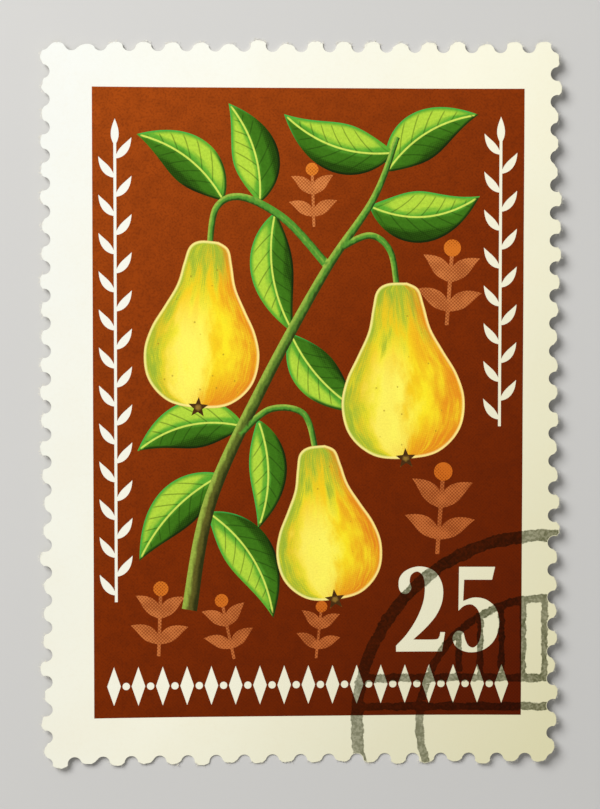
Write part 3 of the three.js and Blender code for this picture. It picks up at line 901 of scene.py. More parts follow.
def paper_colour(finish, sizes):
    """Paper that is darker and yellower towards the lower right, partly from toning and partly painted shade, with
    clouds and specks in it.
    """
    tones = [sizes.paper_light, sizes.paper_middle, sizes.paper_toned_and_shaded]
    colour = finish.ramp(finish.across_sheet(PAPER_SIDEWAYS), tones)
    colour = finish.mix(finish.patches(*PAPER_CLOUDS), colour, PAPER_CLOUD)
    return finish.mix(finish.patches(*PAPER_SPECKS), colour, PAPER_SPECK)


def ground_colour(finish, inks):
    """The ground ink, darker towards the lower right, partly from uneven ink and partly painted shade, with mottling,
    grain and a trace of its screen.
    """
    tones = [inks.ground_light, inks.ground_middle, inks.ground_dark]
    colour = finish.ramp(finish.across_sheet(GROUND_SIDEWAYS), tones)
    colour = finish.mix(finish.patches(*GROUND_MOTTLING), colour, GROUND_DARK_PATCH)
    colour = finish.mix(finish.patches(*GROUND_GRAIN), colour, GROUND_DARK_GRAIN)
    return finish.mix(finish.times(finish.screen(0.35, TINT_SCREEN, 45), 0.03), colour, GROUND_DOT)


def coated_paper(sizes):
    finish = Finish("coated_paper", roughness=0.62, gloss=0.22)
    fibres = finish.noise(2.2, 5, stretch=(1, 0.45, 1), turn=0.4)
    finish.bump(finish.plus(fibres, finish.noise(11, 2)), 0.0035)
    return finish.done(paper_colour(finish, sizes))


def torn_paper(sizes):
    finish = Finish("torn_paper", roughness=0.95, gloss=0.05)
    finish.bump(finish.noise(14, 3), 0.012)
    return finish.done(finish.mix(finish.patches(*TORN_SHADES), sizes.paper_torn, TORN_SHADE))


def paper_back(sizes):
    """Uncoated paper with its fibres showing, stained where it was soaked off."""
    finish = Finish("paper_back", roughness=0.9, gloss=0.1)
    fibres = finish.noise(3.0, 6, stretch=(1, 0.4, 1), turn=1.1)
    finish.bump(fibres, 0.008)
    colour = finish.mix(finish.patches(*BACK_STAINS), sizes.paper_middle, BACK_STAIN)
    return finish.done(finish.mix(finish.step(fibres, 0.4, 0.7, 0, 0.12), colour, BACK_FIBRE))


def cancel_finish(sizes, inks):
    finish = Finish("cancel_ink", roughness=0.7, gloss=0.15)
    return finish.done(finish.struck(paper_colour(finish, sizes), inks.cancel_on_paper))


def ground_finish(inks):
    finish = Finish("ground_print", roughness=0.6, gloss=0.03)
    return finish.printed(ground_colour(finish, inks), inks)


def pear_finish(inks):
    """Brush strokes that follow the fruit, from green at the left and top to orange at the right and foot."""
    finish = Finish("pear_print", roughness=0.6, gloss=0.06)
    along, side, edge = (finish.read(name) for name in ("along", "side", "edge"))
    drawn = finish.vector(finish.times(side, 1.7), finish.times(along, 2.2), finish.read("own"))
    strokes = finish.noise(2.2, 4, at=drawn)
    fine = finish.noise(6.0, 3, at=drawn, stretch=(2.2, 0.6, 1))
    wander = finish.wander(strokes, 0.9)
    turned = finish.plus(side, wander)
    colour = finish.mix(finish.step(strokes, 0.38, 0.62), inks.pear_yellow, inks.pear_gold)

    lit = [finish.step(turned, -0.75, -0.35), finish.step(turned, 0.3, -0.15), finish.step(along, 0.25, 0.6)]
    colour = finish.mix(finish.times(*lit, 0.75), colour, inks.pear_light)

    high = finish.step(finish.plus(along, wander), 0.42, 0.02)
    green = finish.math("MAXIMUM", finish.step(turned, -0.45, -1.0), high)
    green = finish.times(green, finish.step(fine, 0.2, 0.6, 0.45, 1.0), 0.9)
    colour = finish.mix(finish.dotted(green, 15, 0.2, 0.8), colour, inks.pear_green)

    low = finish.step(finish.plus(along, finish.times(side, 0.25)), 0.78, 1.12)
    orange = finish.math("MAXIMUM", finish.step(turned, 0.25, 1.05), low)
    orange = finish.times(orange, finish.step(fine, 0.25, 0.65, 0.5, 1.0))
    colour = finish.mix(finish.dotted(orange, 75, 0.22, 0.74), colour, inks.pear_orange)

    cells = finish.add("ShaderNodeTexVoronoi", {"Vector": finish.place, "Scale": 1.45}).outputs["Distance"]
    specks = finish.times(finish.step(cells, 0.11, 0.05), finish.step(edge, 0.2, 0.5), 0.6)
    colour = finish.mix(specks, colour, PEAR_SPECK)
    colour = finish.mix(finish.step(edge, *PEAR_RIM, 0, 0.85), colour, inks.pear_rim)
    colour = finish.mix(finish.step(edge, *PEAR_OUTLINE, 0, 0.55), colour, PEAR_LINE)
    return finish.printed(finish.grain(colour, 0.08, 9.0), inks)


def leaf_finish(inks):
    """A leaf with a lit and a shaded half, a rib, veins, and a thin line along each edge."""
    finish = Finish("leaf_print", roughness=0.6, gloss=0.04)
    along, lit, edge, lee = (finish.read(name) for name in ("along", "lit", "edge", "lee"))
    drawn = finish.vector(finish.times(lit, 1.6), finish.times(along, 0.28), finish.read("own"))
    towards_light = finish.plus(lit, finish.wander(finish.noise(1.6, 4, at=drawn), 0.8))
    colour = finish.mix(finish.step(towards_light, -0.25, 0.2), inks.leaf_dark, inks.leaf_middle)
    bright = [finish.step(towards_light, 0.12, 0.5), finish.step(along, 0.2, 1.4), finish.step(edge, 0.05, 0.3)]
    colour = finish.mix(finish.times(*bright), colour, inks.leaf_light)
    deep = finish.times(finish.step(towards_light, -0.5, -1.1), 0.8)
    colour = finish.mix(finish.dotted(deep, 15, 0.3, 0.7), colour, inks.leaf_deep)

    from_rib = finish.math("ABSOLUTE", lit)
    phase = finish.math("MULTIPLY_ADD", from_rib, -VEIN_SLANT, along)
    ridge = finish.math("SINE", finish.times(phase, 2 * math.pi / VEIN_SPACING))
    veins = finish.times(finish.step(ridge, 0.86, 1.0), finish.step(edge, 0.1, 0.3), 0.5)
    colour = finish.mix(veins, colour, inks.leaf_deep)
    rib = finish.times(finish.step(from_rib, *LEAF_RIB), finish.step(edge, 0.02, 0.16))
    colour = finish.mix(rib, colour, inks.leaf_rib)

    shadow = finish.times(finish.step(edge, *LEAF_SHADOW), finish.step(lee, 0.0, 0.35), 0.85)
    colour = finish.mix(shadow, colour, LEAF_LEE)
    fringe = finish.times(finish.step(edge, *LEAF_FRINGE), finish.step(lee, -0.1, -0.5), 0.7)
    colour = finish.mix(fringe, colour, inks.leaf_fringe)
    return finish.printed(finish.grain(colour, 0.14), inks)


def branch_finish(inks):
    """Bark that turns from brown to green along the branch, with a lit and a shaded side."""
    finish = Finish("branch_print", roughness=0.62, gloss=0.05)
    along, lit = finish.read("along"), finish.read("lit")
    bark = finish.noise(2.6, 4, stretch=(1.6, 0.5, 1), turn=-0.6)
    towards_light = finish.plus(lit, finish.wander(bark, 0.9))
    colour = finish.mix(finish.step(along, 0.1, 0.8), inks.branch_old, inks.branch_young)
    colour = finish.mix(finish.step(towards_light, 0.05, 0.7, 0, 0.75), colour, BRANCH_LIT)
    colour = finish.mix(finish.step(towards_light, -0.1, -0.75, 0, 0.85), colour, BRANCH_SHADE)
    return finish.printed(finish.grain(colour, 0.2), inks)


def calyx_finish(inks):
    """Dark rays round a lighter middle, lighter again at their tips."""
    finish = Finish("calyx_print", roughness=0.65, gloss=0.05)
    away = finish.read("away")
    colour = finish.mix(finish.step(away, 0.12, 0.42), CALYX_MIDDLE, inks.calyx)
    colour = finish.mix(finish.step(away, 0.8, 1.0, 0, 0.6), colour, CALYX_EDGE)
    return finish.printed(finish.grain(colour, 0.25), inks)


def tint_finish(name, inks, tints, coverage):
    """A motif behind the others, printed as dots over the ground, its tint darker towards the lower right: partly
    painted shade, as on the ground.
    """
    finish = Finish(name, roughness=0.6, gloss=0.03)
    tint = finish.ramp(finish.across_sheet(GROUND_SIDEWAYS), tints)
    amount = finish.patches(0.9, 3, 0.3, 0.7, coverage - 0.2, coverage + 0.2)
    dots = finish.screen(amount, TINT_SCREEN, 45, softness=0.16)
    colour = finish.mix(0.3, ground_colour(finish, inks), tint)
    colour = finish.mix(finish.times(dots, 0.75), colour, tint)
    return finish.printed(colour, inks)


# Perforated sheet


def slab_object(sizes):
    """The sheet before it is perforated: a flat slab with torn edges, in millimetres."""
    loop = torn_outline(sizes.tear_seed)
    draw = random.Random(sizes.tear_seed + 1)
    thick = sizes.thickness * METRE
    corners = [Vector(p) for p in loop] + [Vector(p) for p in fill(loop, CURL_GRID)]
    made = delaunay_2d_cdt(corners, [], [list(range(len(loop)))], 1, WELD)
    points = np.array([tuple(p) for p in made[0]])
    triangles = [tuple(t) for t in made[2]]
    count = len(points)
    directed = {(a, b) for t in triangles for a, b in zip(t, t[1:] + t[:1])}
    rim = sorted((a, b) for a, b in directed if (b, a) not in directed)
    starts = {a: i for i, (a, _) in enumerate(rim)}
    bulge = []
    for a, _ in rim:
        out = points[a] / (HALF_WIDTH, HALF_HEIGHT)
        out = np.where(np.abs(out) >= np.abs(out).max(), np.sign(out), 0)
        bulge.append((*(points[a] + out * draw.uniform(*BULGE_OUT)), thick * draw.uniform(*BULGE_HEIGHT)))
    vertices = [(*p, thick) for p in points] + [(*p, 0.0) for p in points] + bulge
    faces = triangles + [tuple(i + count for i in reversed(t)) for t in triangles]
    for a, b in rim:
        middle_a, middle_b = 2 * count + starts[a], 2 * count + starts[b]
        faces += [(a, middle_a, middle_b, b), (middle_a, a + count, b + count, middle_b)]
    mesh = bpy.data.meshes.new("slab")
    mesh.from_pydata(vertices, [], faces)
    slab = bpy.data.objects.new("slab", mesh)
    bpy.context.scene.collection.objects.link(slab)
    return slab


def new_tree(name, inputs):
    """An empty Geometry Nodes tree with named inputs, its bench and its input node."""
    tree = bpy.data.node_groups.new(name, "GeometryNodeTree")
    tree.is_modifier = True
    tree.interface.new_socket("Geometry", in_out="INPUT", socket_type="NodeSocketGeometry")
    for label, kind in inputs:
        tree.interface.new_socket(label, in_out="INPUT", socket_type="NodeSocket" + kind)
    tree.interface.new_socket("Geometry", in_out="OUTPUT", socket_type="NodeSocketGeometry")
    bench = Bench(tree)
    return bench, bench.add("NodeGroupInput").outputs


def end_tree(bench, geometry, material):
    """Realizes what a tree made, sets its material and sends it out."""
    real = bench.add("GeometryNodeRealizeInstances", {0: geometry}).outputs[0]
    dressed = bench.add("GeometryNodeSetMaterial", {"Geometry": real, "Material": material}).outputs[0]
    bench.add("NodeGroupOutput", {0: dressed})
    return bench.tree


def run_tree(piece, tree, values):
    """The plain mesh that a tree makes of an object."""
    modifier = piece.modifiers.new(tree.name, "NODES")
    modifier.node_group = tree
    for item in tree.interface.items_tree:
        if item.in_out == "INPUT" and item.name in values:
            modifier[item.identifier] = values[item.name]
    bpy.context.view_layer.update()
    evaluated = piece.evaluated_get(bpy.context.evaluated_depsgraph_get())
    mesh = bpy.data.meshes.new_from_object(evaluated)
    piece.modifiers.remove(modifier)
    return mesh


def beyond(bench, x_limit, y_limit):
    """True where a point lies past the limits, left, right, above or below."""
    split = bench.add("ShaderNodeSeparateXYZ", {0: bench.add("GeometryNodeInputPosition").outputs[0]}).outputs
    past = [bench.math("GREATER_THAN", bench.math("ABSOLUTE", split[i]), limit)
            for i, limit in enumerate((x_limit, y_limit))]
    return bench.math("MAXIMUM", *past)


def perforation_tree():
    """Punches a row of holes along each edge of a sheet."""
    bench, given = new_tree("perforation", [
        ("Line Width", "Float"), ("Line Height", "Float"), ("Pitches Across", "Int"), ("Pitches Up", "Int"),
        ("Pin Radius", "Float"), ("Pin Length", "Float"), ("Pin Sides", "Int"), ("Material", "Material"),
    ])
    across = bench.math("ADD", given["Pitches Across"], 1)
    up = bench.math("ADD", given["Pitches Up"], 1)
    feeds = {"Size X": given["Line Width"], "Size Y": given["Line Height"], "Vertices X": across, "Vertices Y": up}
    net = bench.add("GeometryNodeMeshGrid", feeds).outputs[0]
    half = [bench.math("MULTIPLY_ADD", given[name], 0.5, -EDGE_MARGIN) for name in ("Line Width", "Line Height")]
    feeds = {"Vertices": given["Pin Sides"], "Radius": given["Pin Radius"], "Depth": given["Pin Length"]}
    pin = bench.add("GeometryNodeMeshCylinder", feeds).outputs[0]
    feeds = {"Points": net, "Selection": beyond(bench, *half), "Instance": pin}
    pins = bench.add("GeometryNodeInstanceOnPoints", feeds).outputs[0]
    pins = bench.add("GeometryNodeRealizeInstances", {0: pins}).outputs[0]
    punch = bench.add("GeometryNodeMeshBoolean", operation="DIFFERENCE", solver="MANIFOLD")
    bench.feed(punch.inputs[0], given["Geometry"])
    bench.feed(punch.inputs[1], pins)
    return end_tree(bench, punch.outputs[0], given["Material"])


def fibre_tree():
    """Scatters short bent fibres over the torn tips of the teeth."""
    bench, given = new_tree("torn_fibres", [
        ("Tip Width", "Float"), ("Tip Height", "Float"), ("Density", "Float"), ("Length", "Float"),
        ("Thickness", "Float"), ("Seed", "Int"), ("Material", "Material"),
    ])
    feeds = {"Mesh": given["Geometry"], "Selection": beyond(bench, given["Tip Width"], given["Tip Height"]),
             "Density": given["Density"], "Seed": given["Seed"]}
    spread = bench.add("GeometryNodeDistributePointsOnFaces", feeds)
    radius = bench.math("MULTIPLY", given["Thickness"], 0.5)
    ends = []
    for shares in FIBRE_SHAPE:
        aside, along = [bench.math("MULTIPLY", given["Length"], share) for share in shares]
        ends.append(bench.add("ShaderNodeCombineXYZ", {0: aside, 2: along}).outputs[0])
    feeds = {"Resolution": 4, "Start": ends[0], "Middle": ends[1], "End": ends[2]}
    line = bench.add("GeometryNodeCurveQuadraticBezier", feeds).outputs[0]
    ring = bench.add("GeometryNodeCurvePrimitiveCircle", {"Resolution": 4, "Radius": radius}).outputs[0]
    feeds = {"Curve": line, "Profile Curve": ring, "Fill Caps": True}
    fibre = bench.add("GeometryNodeCurveToMesh", feeds).outputs[0]

    def random_between(kind, first, out, low, high, add):
        feeds = {first: low, first + 1: high, "Seed": bench.plus(given["Seed"], add)}
        return bench.add("FunctionNodeRandomValue", feeds, data_type=kind).outputs[out]

    least, most = (-FIBRE_TILT, -FIBRE_TILT, 0.0), (FIBRE_TILT, FIBRE_TILT, FIBRE_TURN)
    tilt = random_between("FLOAT_VECTOR", 0, 0, least, most, 1)
    turned = bench.add("FunctionNodeRotateRotation", {0: spread.outputs["Rotation"], 1: tilt}, rotation_space="LOCAL")
    size = random_between("FLOAT", 2, 1, *FIBRE_SIZES, 2)
    feeds = {"Points": spread.outputs["Points"], "Instance": fibre, "Rotation": turned.outputs[0], "Scale": size}
    fibres = bench.add("GeometryNodeInstanceOnPoints", feeds).outputs[0]
    return end_tree(bench, fibres, given["Material"])


def curl(mesh):
    """Lifts a flat mesh to the sheet's curl and turns it from millimetres into metres."""
    at = np.array([v.co for v in mesh.vertices])
    at[:, 2] = np.maximum(at[:, 2] + lie(at[:, 0], at[:, 1]), 0)
    mesh.vertices.foreach_set("co", (at / METRE).ravel())
    mesh.update()


def welded(mesh):
    """Merges doubled points, and turns every face outwards."""
    work = bmesh.new()
    work.from_mesh(mesh)
    bmesh.ops.remove_doubles(work, verts=work.verts, dist=WELD)
    bmesh.ops.dissolve_degenerate(work, edges=work.edges, dist=WELD)
    bmesh.ops.triangulate(work, faces=[f for f in work.faces if len(f.verts) > 4])
    bmesh.ops.recalc_face_normals(work, faces=work.faces)
    work.to_mesh(mesh)
    work.free()
    return mesh


# Operators


def length_setting(label, text, default, least, most):
    return FloatProperty(
        name=label, description=text, default=default, min=least, max=most, precision=6, unit="LENGTH")


def colour_setting(label, text, colour):
    return FloatVectorProperty(name=label, description=text, subtype="COLOR", default=colour, min=0, max=1)


class StampSizes(bpy.types.PropertyGroup):
    thickness: length_setting("Thickness", "Thickness of the paper", PAPER_TOP / METRE, 0.00005, 0.0003)
    hole_radius: length_setting("Hole Radius", "Radius of a perforation", HOLE_RADIUS / METRE, 0.0003, 0.0006)
    tear_seed: IntProperty(name="Tear Seed", description="Changes how the teeth are torn", default=41)
    fibre_length: length_setting(
        "Fibre Length", "Length of the longest fibre at a torn tip", 0.00029, 0.00005, 0.0005)
    fibre_density: FloatProperty(
        name="Fibre Density", description="Fibres on a square millimetre of torn edge", default=190.0,
        min=0.0, max=400.0)
    # The paper's colours run from its top left to its lower right: toning, and painted shade where the light falls
    # off
    paper_light: colour_setting("Paper", "Colour of the paper where it has toned least", tone(232, 235, 231))
    paper_middle: colour_setting("Paper, Middle", "Colour of the paper between the two", tone(236, 235, 216))
    paper_toned_and_shaded: colour_setting("Paper, Toned", "Colour of the paper where it has toned most", tone(209, 205, 166))
    paper_torn: colour_setting("Torn Paper", "Colour of the torn edges", tone(240, 238, 226))


class StampInks(bpy.types.PropertyGroup):
    # The ground's colours, and the sprigs' and berries' below, run from the top left to the lower right: uneven ink,
    # and painted shade where the light falls off
    ground_light: colour_setting("Ground, Light", "Ground ink at the top left", tone(166, 74, 16))
    ground_middle: colour_setting("Ground, Middle", "Ground ink across the middle", tone(121, 43, 3))
    ground_dark: colour_setting("Ground, Dark", "Ground ink at the lower right", tone(68, 12, 0))
    pear_yellow: colour_setting("Pear, Yellow", "Main yellow of the fruit", tone(246, 226, 36))
    pear_gold: colour_setting("Pear, Gold", "Deeper yellow of the fruit", tone(240, 200, 28))
    pear_light: colour_setting("Pear, Light", "Lit side of the fruit", tone(250, 243, 104))
    pear_green: colour_setting("Pear, Green", "Green strokes on the fruit", tone(140, 172, 50))
    pear_orange: colour_setting("Pear, Orange", "Shaded side of the fruit", tone(222, 128, 26))
    pear_rim: colour_setting("Pear, Rim", "Pale line inside the fruit's edge", tone(252, 240, 150))
    leaf_light: colour_setting("Leaf, Light", "Lit part of a leaf", tone(176, 212, 62))
    leaf_middle: colour_setting("Leaf, Middle", "Middle green of a leaf", tone(92, 168, 48))
    leaf_dark: colour_setting("Leaf, Dark", "Shaded half of a leaf", tone(60, 114, 22))
    leaf_deep: colour_setting("Leaf, Deep", "Deepest green of a leaf", tone(26, 52, 5))
    leaf_rib: colour_setting("Leaf, Rib", "Midrib of a leaf", tone(206, 224, 92))
    leaf_fringe: colour_setting("Leaf, Fringe", "Thin bright line at a leaf's lit edge", tone(54, 176, 78))
    branch_old: colour_setting("Branch, Old", "Bark at the cut end", tone(92, 88, 32))
    branch_young: colour_setting("Branch, Young", "Bark at the growing tip", tone(82, 148, 48))
    calyx: colour_setting("Calyx", "Star under a fruit", tone(74, 46, 16))
    sprig_light: colour_setting("Sprig, Light", "Dots of the sprigs at the top left", tone(238, 156, 88))
    sprig_dark: colour_setting("Sprig, Dark", "Dots of the sprigs at the lower right", tone(176, 80, 28))
    berry_light: colour_setting("Berry, Light", "Dots of the berries at the top left", tone(242, 146, 50))
    berry_dark: colour_setting("Berry, Dark", "Dots of the berries at the lower right", tone(190, 84, 14))
    cancel_on_paper: colour_setting("Cancel on Paper", "What the cancel takes from the paper", (0.1, 0.11, 0.05))
    cancel_on_print: colour_setting("Cancel on Print", "What the cancel takes from the print", (0.17, 0.3, 0.3))


class StampStage(bpy.types.PropertyGroup):
    floor_colour: colour_setting("Floor", "Colour of the floor", (0.56, 0.56, 0.55))
    floor_size: FloatProperty(
        name="Floor Size", description="Side of the square floor", default=0.8, min=0.1, unit="LENGTH")
    key_power: FloatProperty(name="Key Light", description="Power of the key light in watts", default=1.06, min=0)
    fill_power: FloatProperty(name="Fill Light", description="Power of the fill light in watts", default=0.12, min=0)


class StampOperator:
    bl_options = {"REGISTER", "UNDO"}


class STAMP_OT_sheet(StampOperator, bpy.types.Operator):
    """Make the perforated paper sheet"""
    bl_idname = "stamp.sheet"
    bl_label = "Perforated Sheet"

    def execute(self, context):
        sizes = context.scene.stamp_sizes
        slab = slab_object(sizes)
        materials = [coated_paper(sizes), torn_paper(sizes), paper_back(sizes)]
        mesh = run_tree(slab, perforation_tree(), {
            "Line Width": 2 * HOLE_LINE[0], "Line Height": 2 * HOLE_LINE[1],
            "Pitches Across": TEETH_ACROSS, "Pitches Up": TEETH_UP, "Pin Radius": sizes.hole_radius * METRE,
            "Pin Length": PIN_LENGTH, "Pin Sides": PIN_SIDES, "Material": materials[0],
        })
        bpy.data.objects.remove(slab)
        mesh.name = "perforated_sheet"
        welded(mesh)
        curl(mesh)
        smooth_tops(mesh)
        piece = hand_over(mesh, "stamp_paper", ["paper_sheet"], *materials)
        for face in piece.data.polygons:
            up = face.normal.z
            face.material_index = COATED if up > FACING else BACK if up < -FACING else TORN
        return {"FINISHED"}


class STAMP_OT_fibres(StampOperator, bpy.types.Operator):
    """Make the loose fibres at the torn tips of the teeth"""
    bl_idname = "stamp.fibres"
    bl_label = "Torn Fibres"

    def execute(self, context):
        sizes = context.scene.stamp_sizes
        sheet = bpy.data.objects["perforated_sheet"]
        work = bmesh.new()
        work.from_mesh(sheet.data)
        bmesh.ops.delete(work, geom=[f for f in work.faces if f.material_index != TORN], context="FACES")
        bmesh.ops.scale(work, vec=(METRE,) * 3, verts=work.verts)
        edges = bpy.data.meshes.new("torn_edges")
        work.to_mesh(edges)
        work.free()
        carrier = bpy.data.objects.new("torn_edges", edges)
        context.scene.collection.objects.link(carrier)
        mesh = run_tree(carrier, fibre_tree(), {
            "Tip Width": HOLE_LINE[0] - TIP_MARGIN, "Tip Height": HOLE_LINE[1] - TIP_MARGIN,
            "Density": sizes.fibre_density, "Length": sizes.fibre_length * METRE, "Thickness": FIBRE_THICKNESS,
            "Seed": sizes.tear_seed, "Material": sheet.data.materials[TORN],
        })
        bpy.data.objects.remove(carrier)
        mesh.name = "torn_fibres"
        at = np.array([v.co for v in mesh.vertices])
        at[:, 2] = np.clip(at[:, 2], 0, CAD_BOX[1].z * METRE)
        mesh.vertices.foreach_set("co", (at / METRE).ravel())
        hand_over(mesh, "stamp_paper", [], sheet.data.materials[TORN])
        return {"FINISHED"}


class STAMP_OT_ground(StampOperator, bpy.types.Operator):
    """Print the ground ink, with its white ornament and figures left bare"""
    bl_idname = "stamp.ground"
    bl_label = "Ground"

    def execute(self, context):
        solids = sorted(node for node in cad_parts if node.startswith("ground_ink"))
        mesh, _ = film("ground_print", "ground_ink")
        hand_over(mesh, "ground_ink", solids, ground_finish(context.scene.stamp_inks))
        return {"FINISHED"}


class STAMP_OT_pears(StampOperator, bpy.types.Operator):
    """Print the pears and the stars under them"""
    bl_idname = "stamp.pears"
    bl_label = "Pears"

    def execute(self, context):
        inks = context.scene.stamp_inks
        skin, star = pear_finish(inks), calyx_finish(inks)
        for i, (top, length, width, lean) in enumerate(PEARS, 1):
            mesh, flat = film(f"pear_print_{i}", f"pear_ink_{i}")
            own = placed((0, 0), -lean, 1 / length, flat - np.array(top))
            half = np.array([(0, 0.0)] + [(y, x) for x, y in PEAR_HALF] + [(-1, 0.0)])
            reach = np.interp(-own[:, 1], -half[:, 0], half[:, 1]) * width / length
            note(mesh, "along", np.clip(-own[:, 1], 0, 1))
            side = own[:, 0] / np.maximum(reach, NARROWEST)
            note(mesh, "side", np.clip(side, -SIDE_LIMIT, SIDE_LIMIT))
            note(mesh, "edge", nearest_side(flat, pear_outline(top, length, width, lean))[0])
            note(mesh, "own", np.full(len(flat), PEAR_APART * i))
            hand_over(mesh, "pear_ink", [f"pear_ink_{i}"], skin)
            mesh, flat = film(f"calyx_print_{i}", f"calyx_ink_{i}")
            centre = calyx_outline(top, length, width, lean).mean(0)
            note(mesh, "away", np.hypot(*(flat - centre).T) / CALYX_RADIUS)
            hand_over(mesh, "calyx_ink", [f"calyx_ink_{i}"], star)
        return {"FINISHED"}


class STAMP_OT_leaves(StampOperator, bpy.types.Operator):
    """Print the leaves"""
    bl_idname = "stamp.leaves"
    bl_label = "Leaves"

    def execute(self, context):
        finish = leaf_finish(context.scene.stamp_inks)
        for i, leaf in enumerate(LEAVES, 1):
            mesh, flat = film(f"leaf_print_{i}", f"leaf_ink_{i}")
            line, way = midrib(*leaf[:3])
            u, left = along_line(flat, line)
            middle = way[len(way) // 2]
            towards = math.copysign(1, np.array([-middle[1], middle[0]]) @ LIGHT_WAY)
            edge, out = nearest_side(flat, leaf_outline(*leaf))
            note(mesh, "along", u * np.hypot(*np.diff(line, axis=0).T).sum())
            note(mesh, "lit", left * towards)
            note(mesh, "edge", edge)
            note(mesh, "lee", -(out @ LIGHT_WAY))
            note(mesh, "own", np.full(len(flat), LEAF_APART * i))
            hand_over(mesh, "leaf_ink", [f"leaf_ink_{i}"], finish)
        return {"FINISHED"}


class STAMP_OT_branch(StampOperator, bpy.types.Operator):
    """Print the branch, its twig and the fruit stalks"""
    bl_idname = "stamp.branch"
    bl_label = "Branch"

    def execute(self, context):
        mesh, flat = film("branch_print", "branch_ink")
        nearest = np.full(len(flat), np.inf)
        along, lit = np.zeros(len(flat)), np.zeros(len(flat))
        for number, (points, first, last) in enumerate(STROKES):
            line, way = line_through(points, STROKE_PARTS)
            u, left = along_line(flat, line)
            ratio = left / (first + (last - first) * u)
            mine = np.abs(ratio) < nearest
            step = np.minimum((u * STROKE_PARTS).astype(int), STROKE_PARTS - 1)
            side = np.column_stack([-way[step, 1], way[step, 0]]) @ LIGHT_WAY
            side = np.clip(side * LIGHT_CONTRAST, -1, 1)
            crown = CROWN_LIGHT - CROWN_FALL * ratio**2
            nearest[mine] = np.abs(ratio)[mine]
            along[mine] = (u if number == 0 else TWIG_AGE + (1 - TWIG_AGE) * u)[mine]
            lit[mine] = np.clip(ratio * side + (1 - np.abs(side)) * crown, -1, 1)[mine]
        note(mesh, "along", along)
        note(mesh, "lit", lit)
        hand_over(mesh, "branch_ink", ["branch_ink"], branch_finish(context.scene.stamp_inks))
        return {"FINISHED"}


class STAMP_OT_sprigs(StampOperator, bpy.types.Operator):
    """Print the pale sprigs and their berries"""
    bl_idname = "stamp.sprigs"
    bl_label = "Sprigs"

    def execute(self, context):
        inks = context.scene.stamp_inks
        finishes = {"sprig": tint_finish("sprig_print", inks, [inks.sprig_light, inks.sprig_dark], 0.5),
                    "berry": tint_finish("berry_print", inks, [inks.berry_light, inks.berry_dark], 0.8)}
        for kind, finish in finishes.items():
            for i in range(1, len(SPRIGS) + 1):
                node = f"{kind}_tint_{i}"
                mesh, _ = film(f"{kind}_print_{i}", node)
                hand_over(mesh, f"{kind}_tint", [node], finish)
        return {"FINISHED"}


class STAMP_OT_cancel(StampOperator, bpy.types.Operator):
    """Strike the cancel over the paper that the print leaves bare"""
    bl_idname = "stamp.cancel"
    bl_label = "Cancel"

    def execute(self, context):
        mesh, _ = film("cancel_strike", "cancel_ink", CANCEL_ON_PAPER)
        finish = cancel_finish(context.scene.stamp_sizes, context.scene.stamp_inks)
        hand_over(mesh, "cancel_ink", ["cancel_ink"], finish)
        return {"FINISHED"}


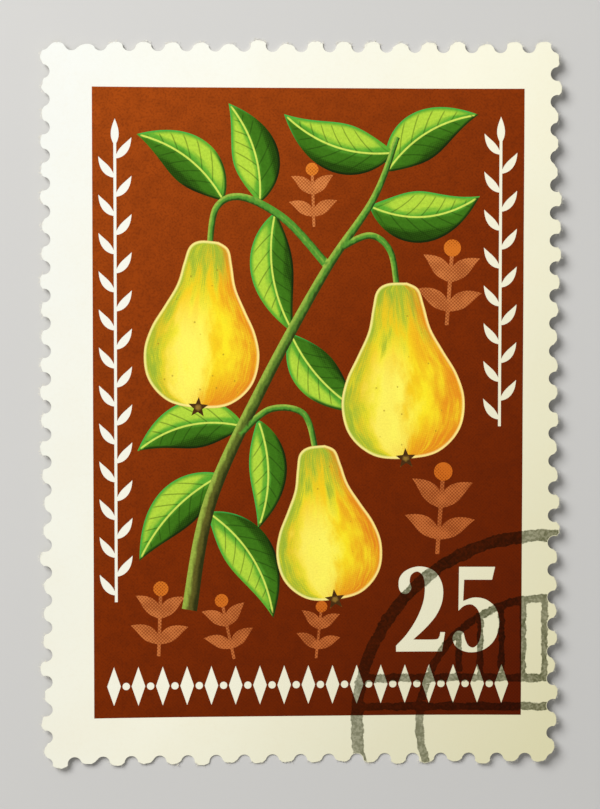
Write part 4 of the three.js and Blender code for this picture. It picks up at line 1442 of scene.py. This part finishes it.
class STAMP_OT_stage(StampOperator, bpy.types.Operator):
    """Make the floor, the lights and the camera"""
    bl_idname = "stamp.stage"
    bl_label = "Floor, Lights and Camera"

    def execute(self, context):
        stage = context.scene.stamp_stage
        half = stage.floor_size / 2
        mesh = bpy.data.meshes.new("floor")
        corners = [(-half, -half), (half, -half), (half, half), (-half, half)]
        mesh.from_pydata([(x, y, -FLOOR_DROP) for x, y in corners], [], [(0, 1, 2, 3)])
        floor = bpy.data.objects.new("floor", mesh)
        context.scene.collection.objects.link(floor)
        finish = Finish("floor", roughness=0.85, gloss=0.1)
        colour = finish.mix(finish.patches(*FLOOR_CLOUDS), stage.floor_colour, FLOOR_SHADE)
        mesh.materials.append(finish.done(colour))

        for name, (size, place, colour) in LAMPS.items():
            light = bpy.data.lights.new(f"{name}_light", "AREA")
            light.energy, light.size, light.color = getattr(stage, f"{name}_power"), size, colour
            carrier = bpy.data.objects.new(f"{name}_light", light)
            carrier.location = place
            carrier.rotation_euler = (-Vector(place)).to_track_quat("-Z", "Y").to_euler()
            context.scene.collection.objects.link(carrier)
        world = context.scene.world or bpy.data.worlds.new("studio")
        context.scene.world = world
        world.use_nodes = True
        world.node_tree.nodes["Background"].inputs["Color"].default_value = ROOM_COLOUR
        world.node_tree.nodes["Background"].inputs["Strength"].default_value = ROOM_STRENGTH
        context.scene.view_settings.view_transform = "Standard"

        lens = bpy.data.cameras.new("camera")
        lens.sensor_fit, lens.sensor_height, lens.lens = "VERTICAL", CAMERA_SENSOR, CAMERA_LENS
        lens.clip_start, lens.clip_end = CAMERA_CLIP
        camera = bpy.data.objects.new("camera", lens)
        camera.location = CAMERA_PLACE
        camera.rotation_euler = Euler([math.radians(a) for a in CAMERA_TURN])
        context.scene.collection.objects.link(camera)
        context.scene.camera = camera
        return {"FINISHED"}


PIECES = [STAMP_OT_sheet, STAMP_OT_fibres, STAMP_OT_ground, STAMP_OT_pears, STAMP_OT_leaves, STAMP_OT_branch,
          STAMP_OT_sprigs, STAMP_OT_cancel, STAMP_OT_stage]
GROUPS = {"stamp_sizes": StampSizes, "stamp_inks": StampInks, "stamp_stage": StampStage}


class STAMP_PT_panel(bpy.types.Panel):
    """Sizes, colours and pieces of the stamp"""
    bl_idname = "STAMP_PT_panel"
    bl_label = "Stamp"
    bl_space_type = "VIEW_3D"
    bl_region_type = "UI"
    bl_category = "Stamp"

    def draw(self, context):
        for group in GROUPS:
            column = self.layout.column(align=True)
            for name in getattr(context.scene, group).bl_rna.properties.keys():
                if name not in ("rna_type", "name"):
                    column.prop(getattr(context.scene, group), name)
        for piece in PIECES:
            self.layout.operator(piece.bl_idname)


CLASSES = [*GROUPS.values(), *PIECES, STAMP_PT_panel]


def register():
    for made in CLASSES:
        bpy.utils.register_class(made)
    for name, group in GROUPS.items():
        setattr(bpy.types.Scene, name, PointerProperty(type=group))


def unregister():
    for name in GROUPS:
        delattr(bpy.types.Scene, name)
    for made in reversed(CLASSES):
        bpy.utils.unregister_class(made)


def main():
    register()
    for piece in PIECES:
        family, name = piece.bl_idname.split(".")
        getattr(getattr(bpy.ops, family), name)()


if __name__ == "__main__":
    main()
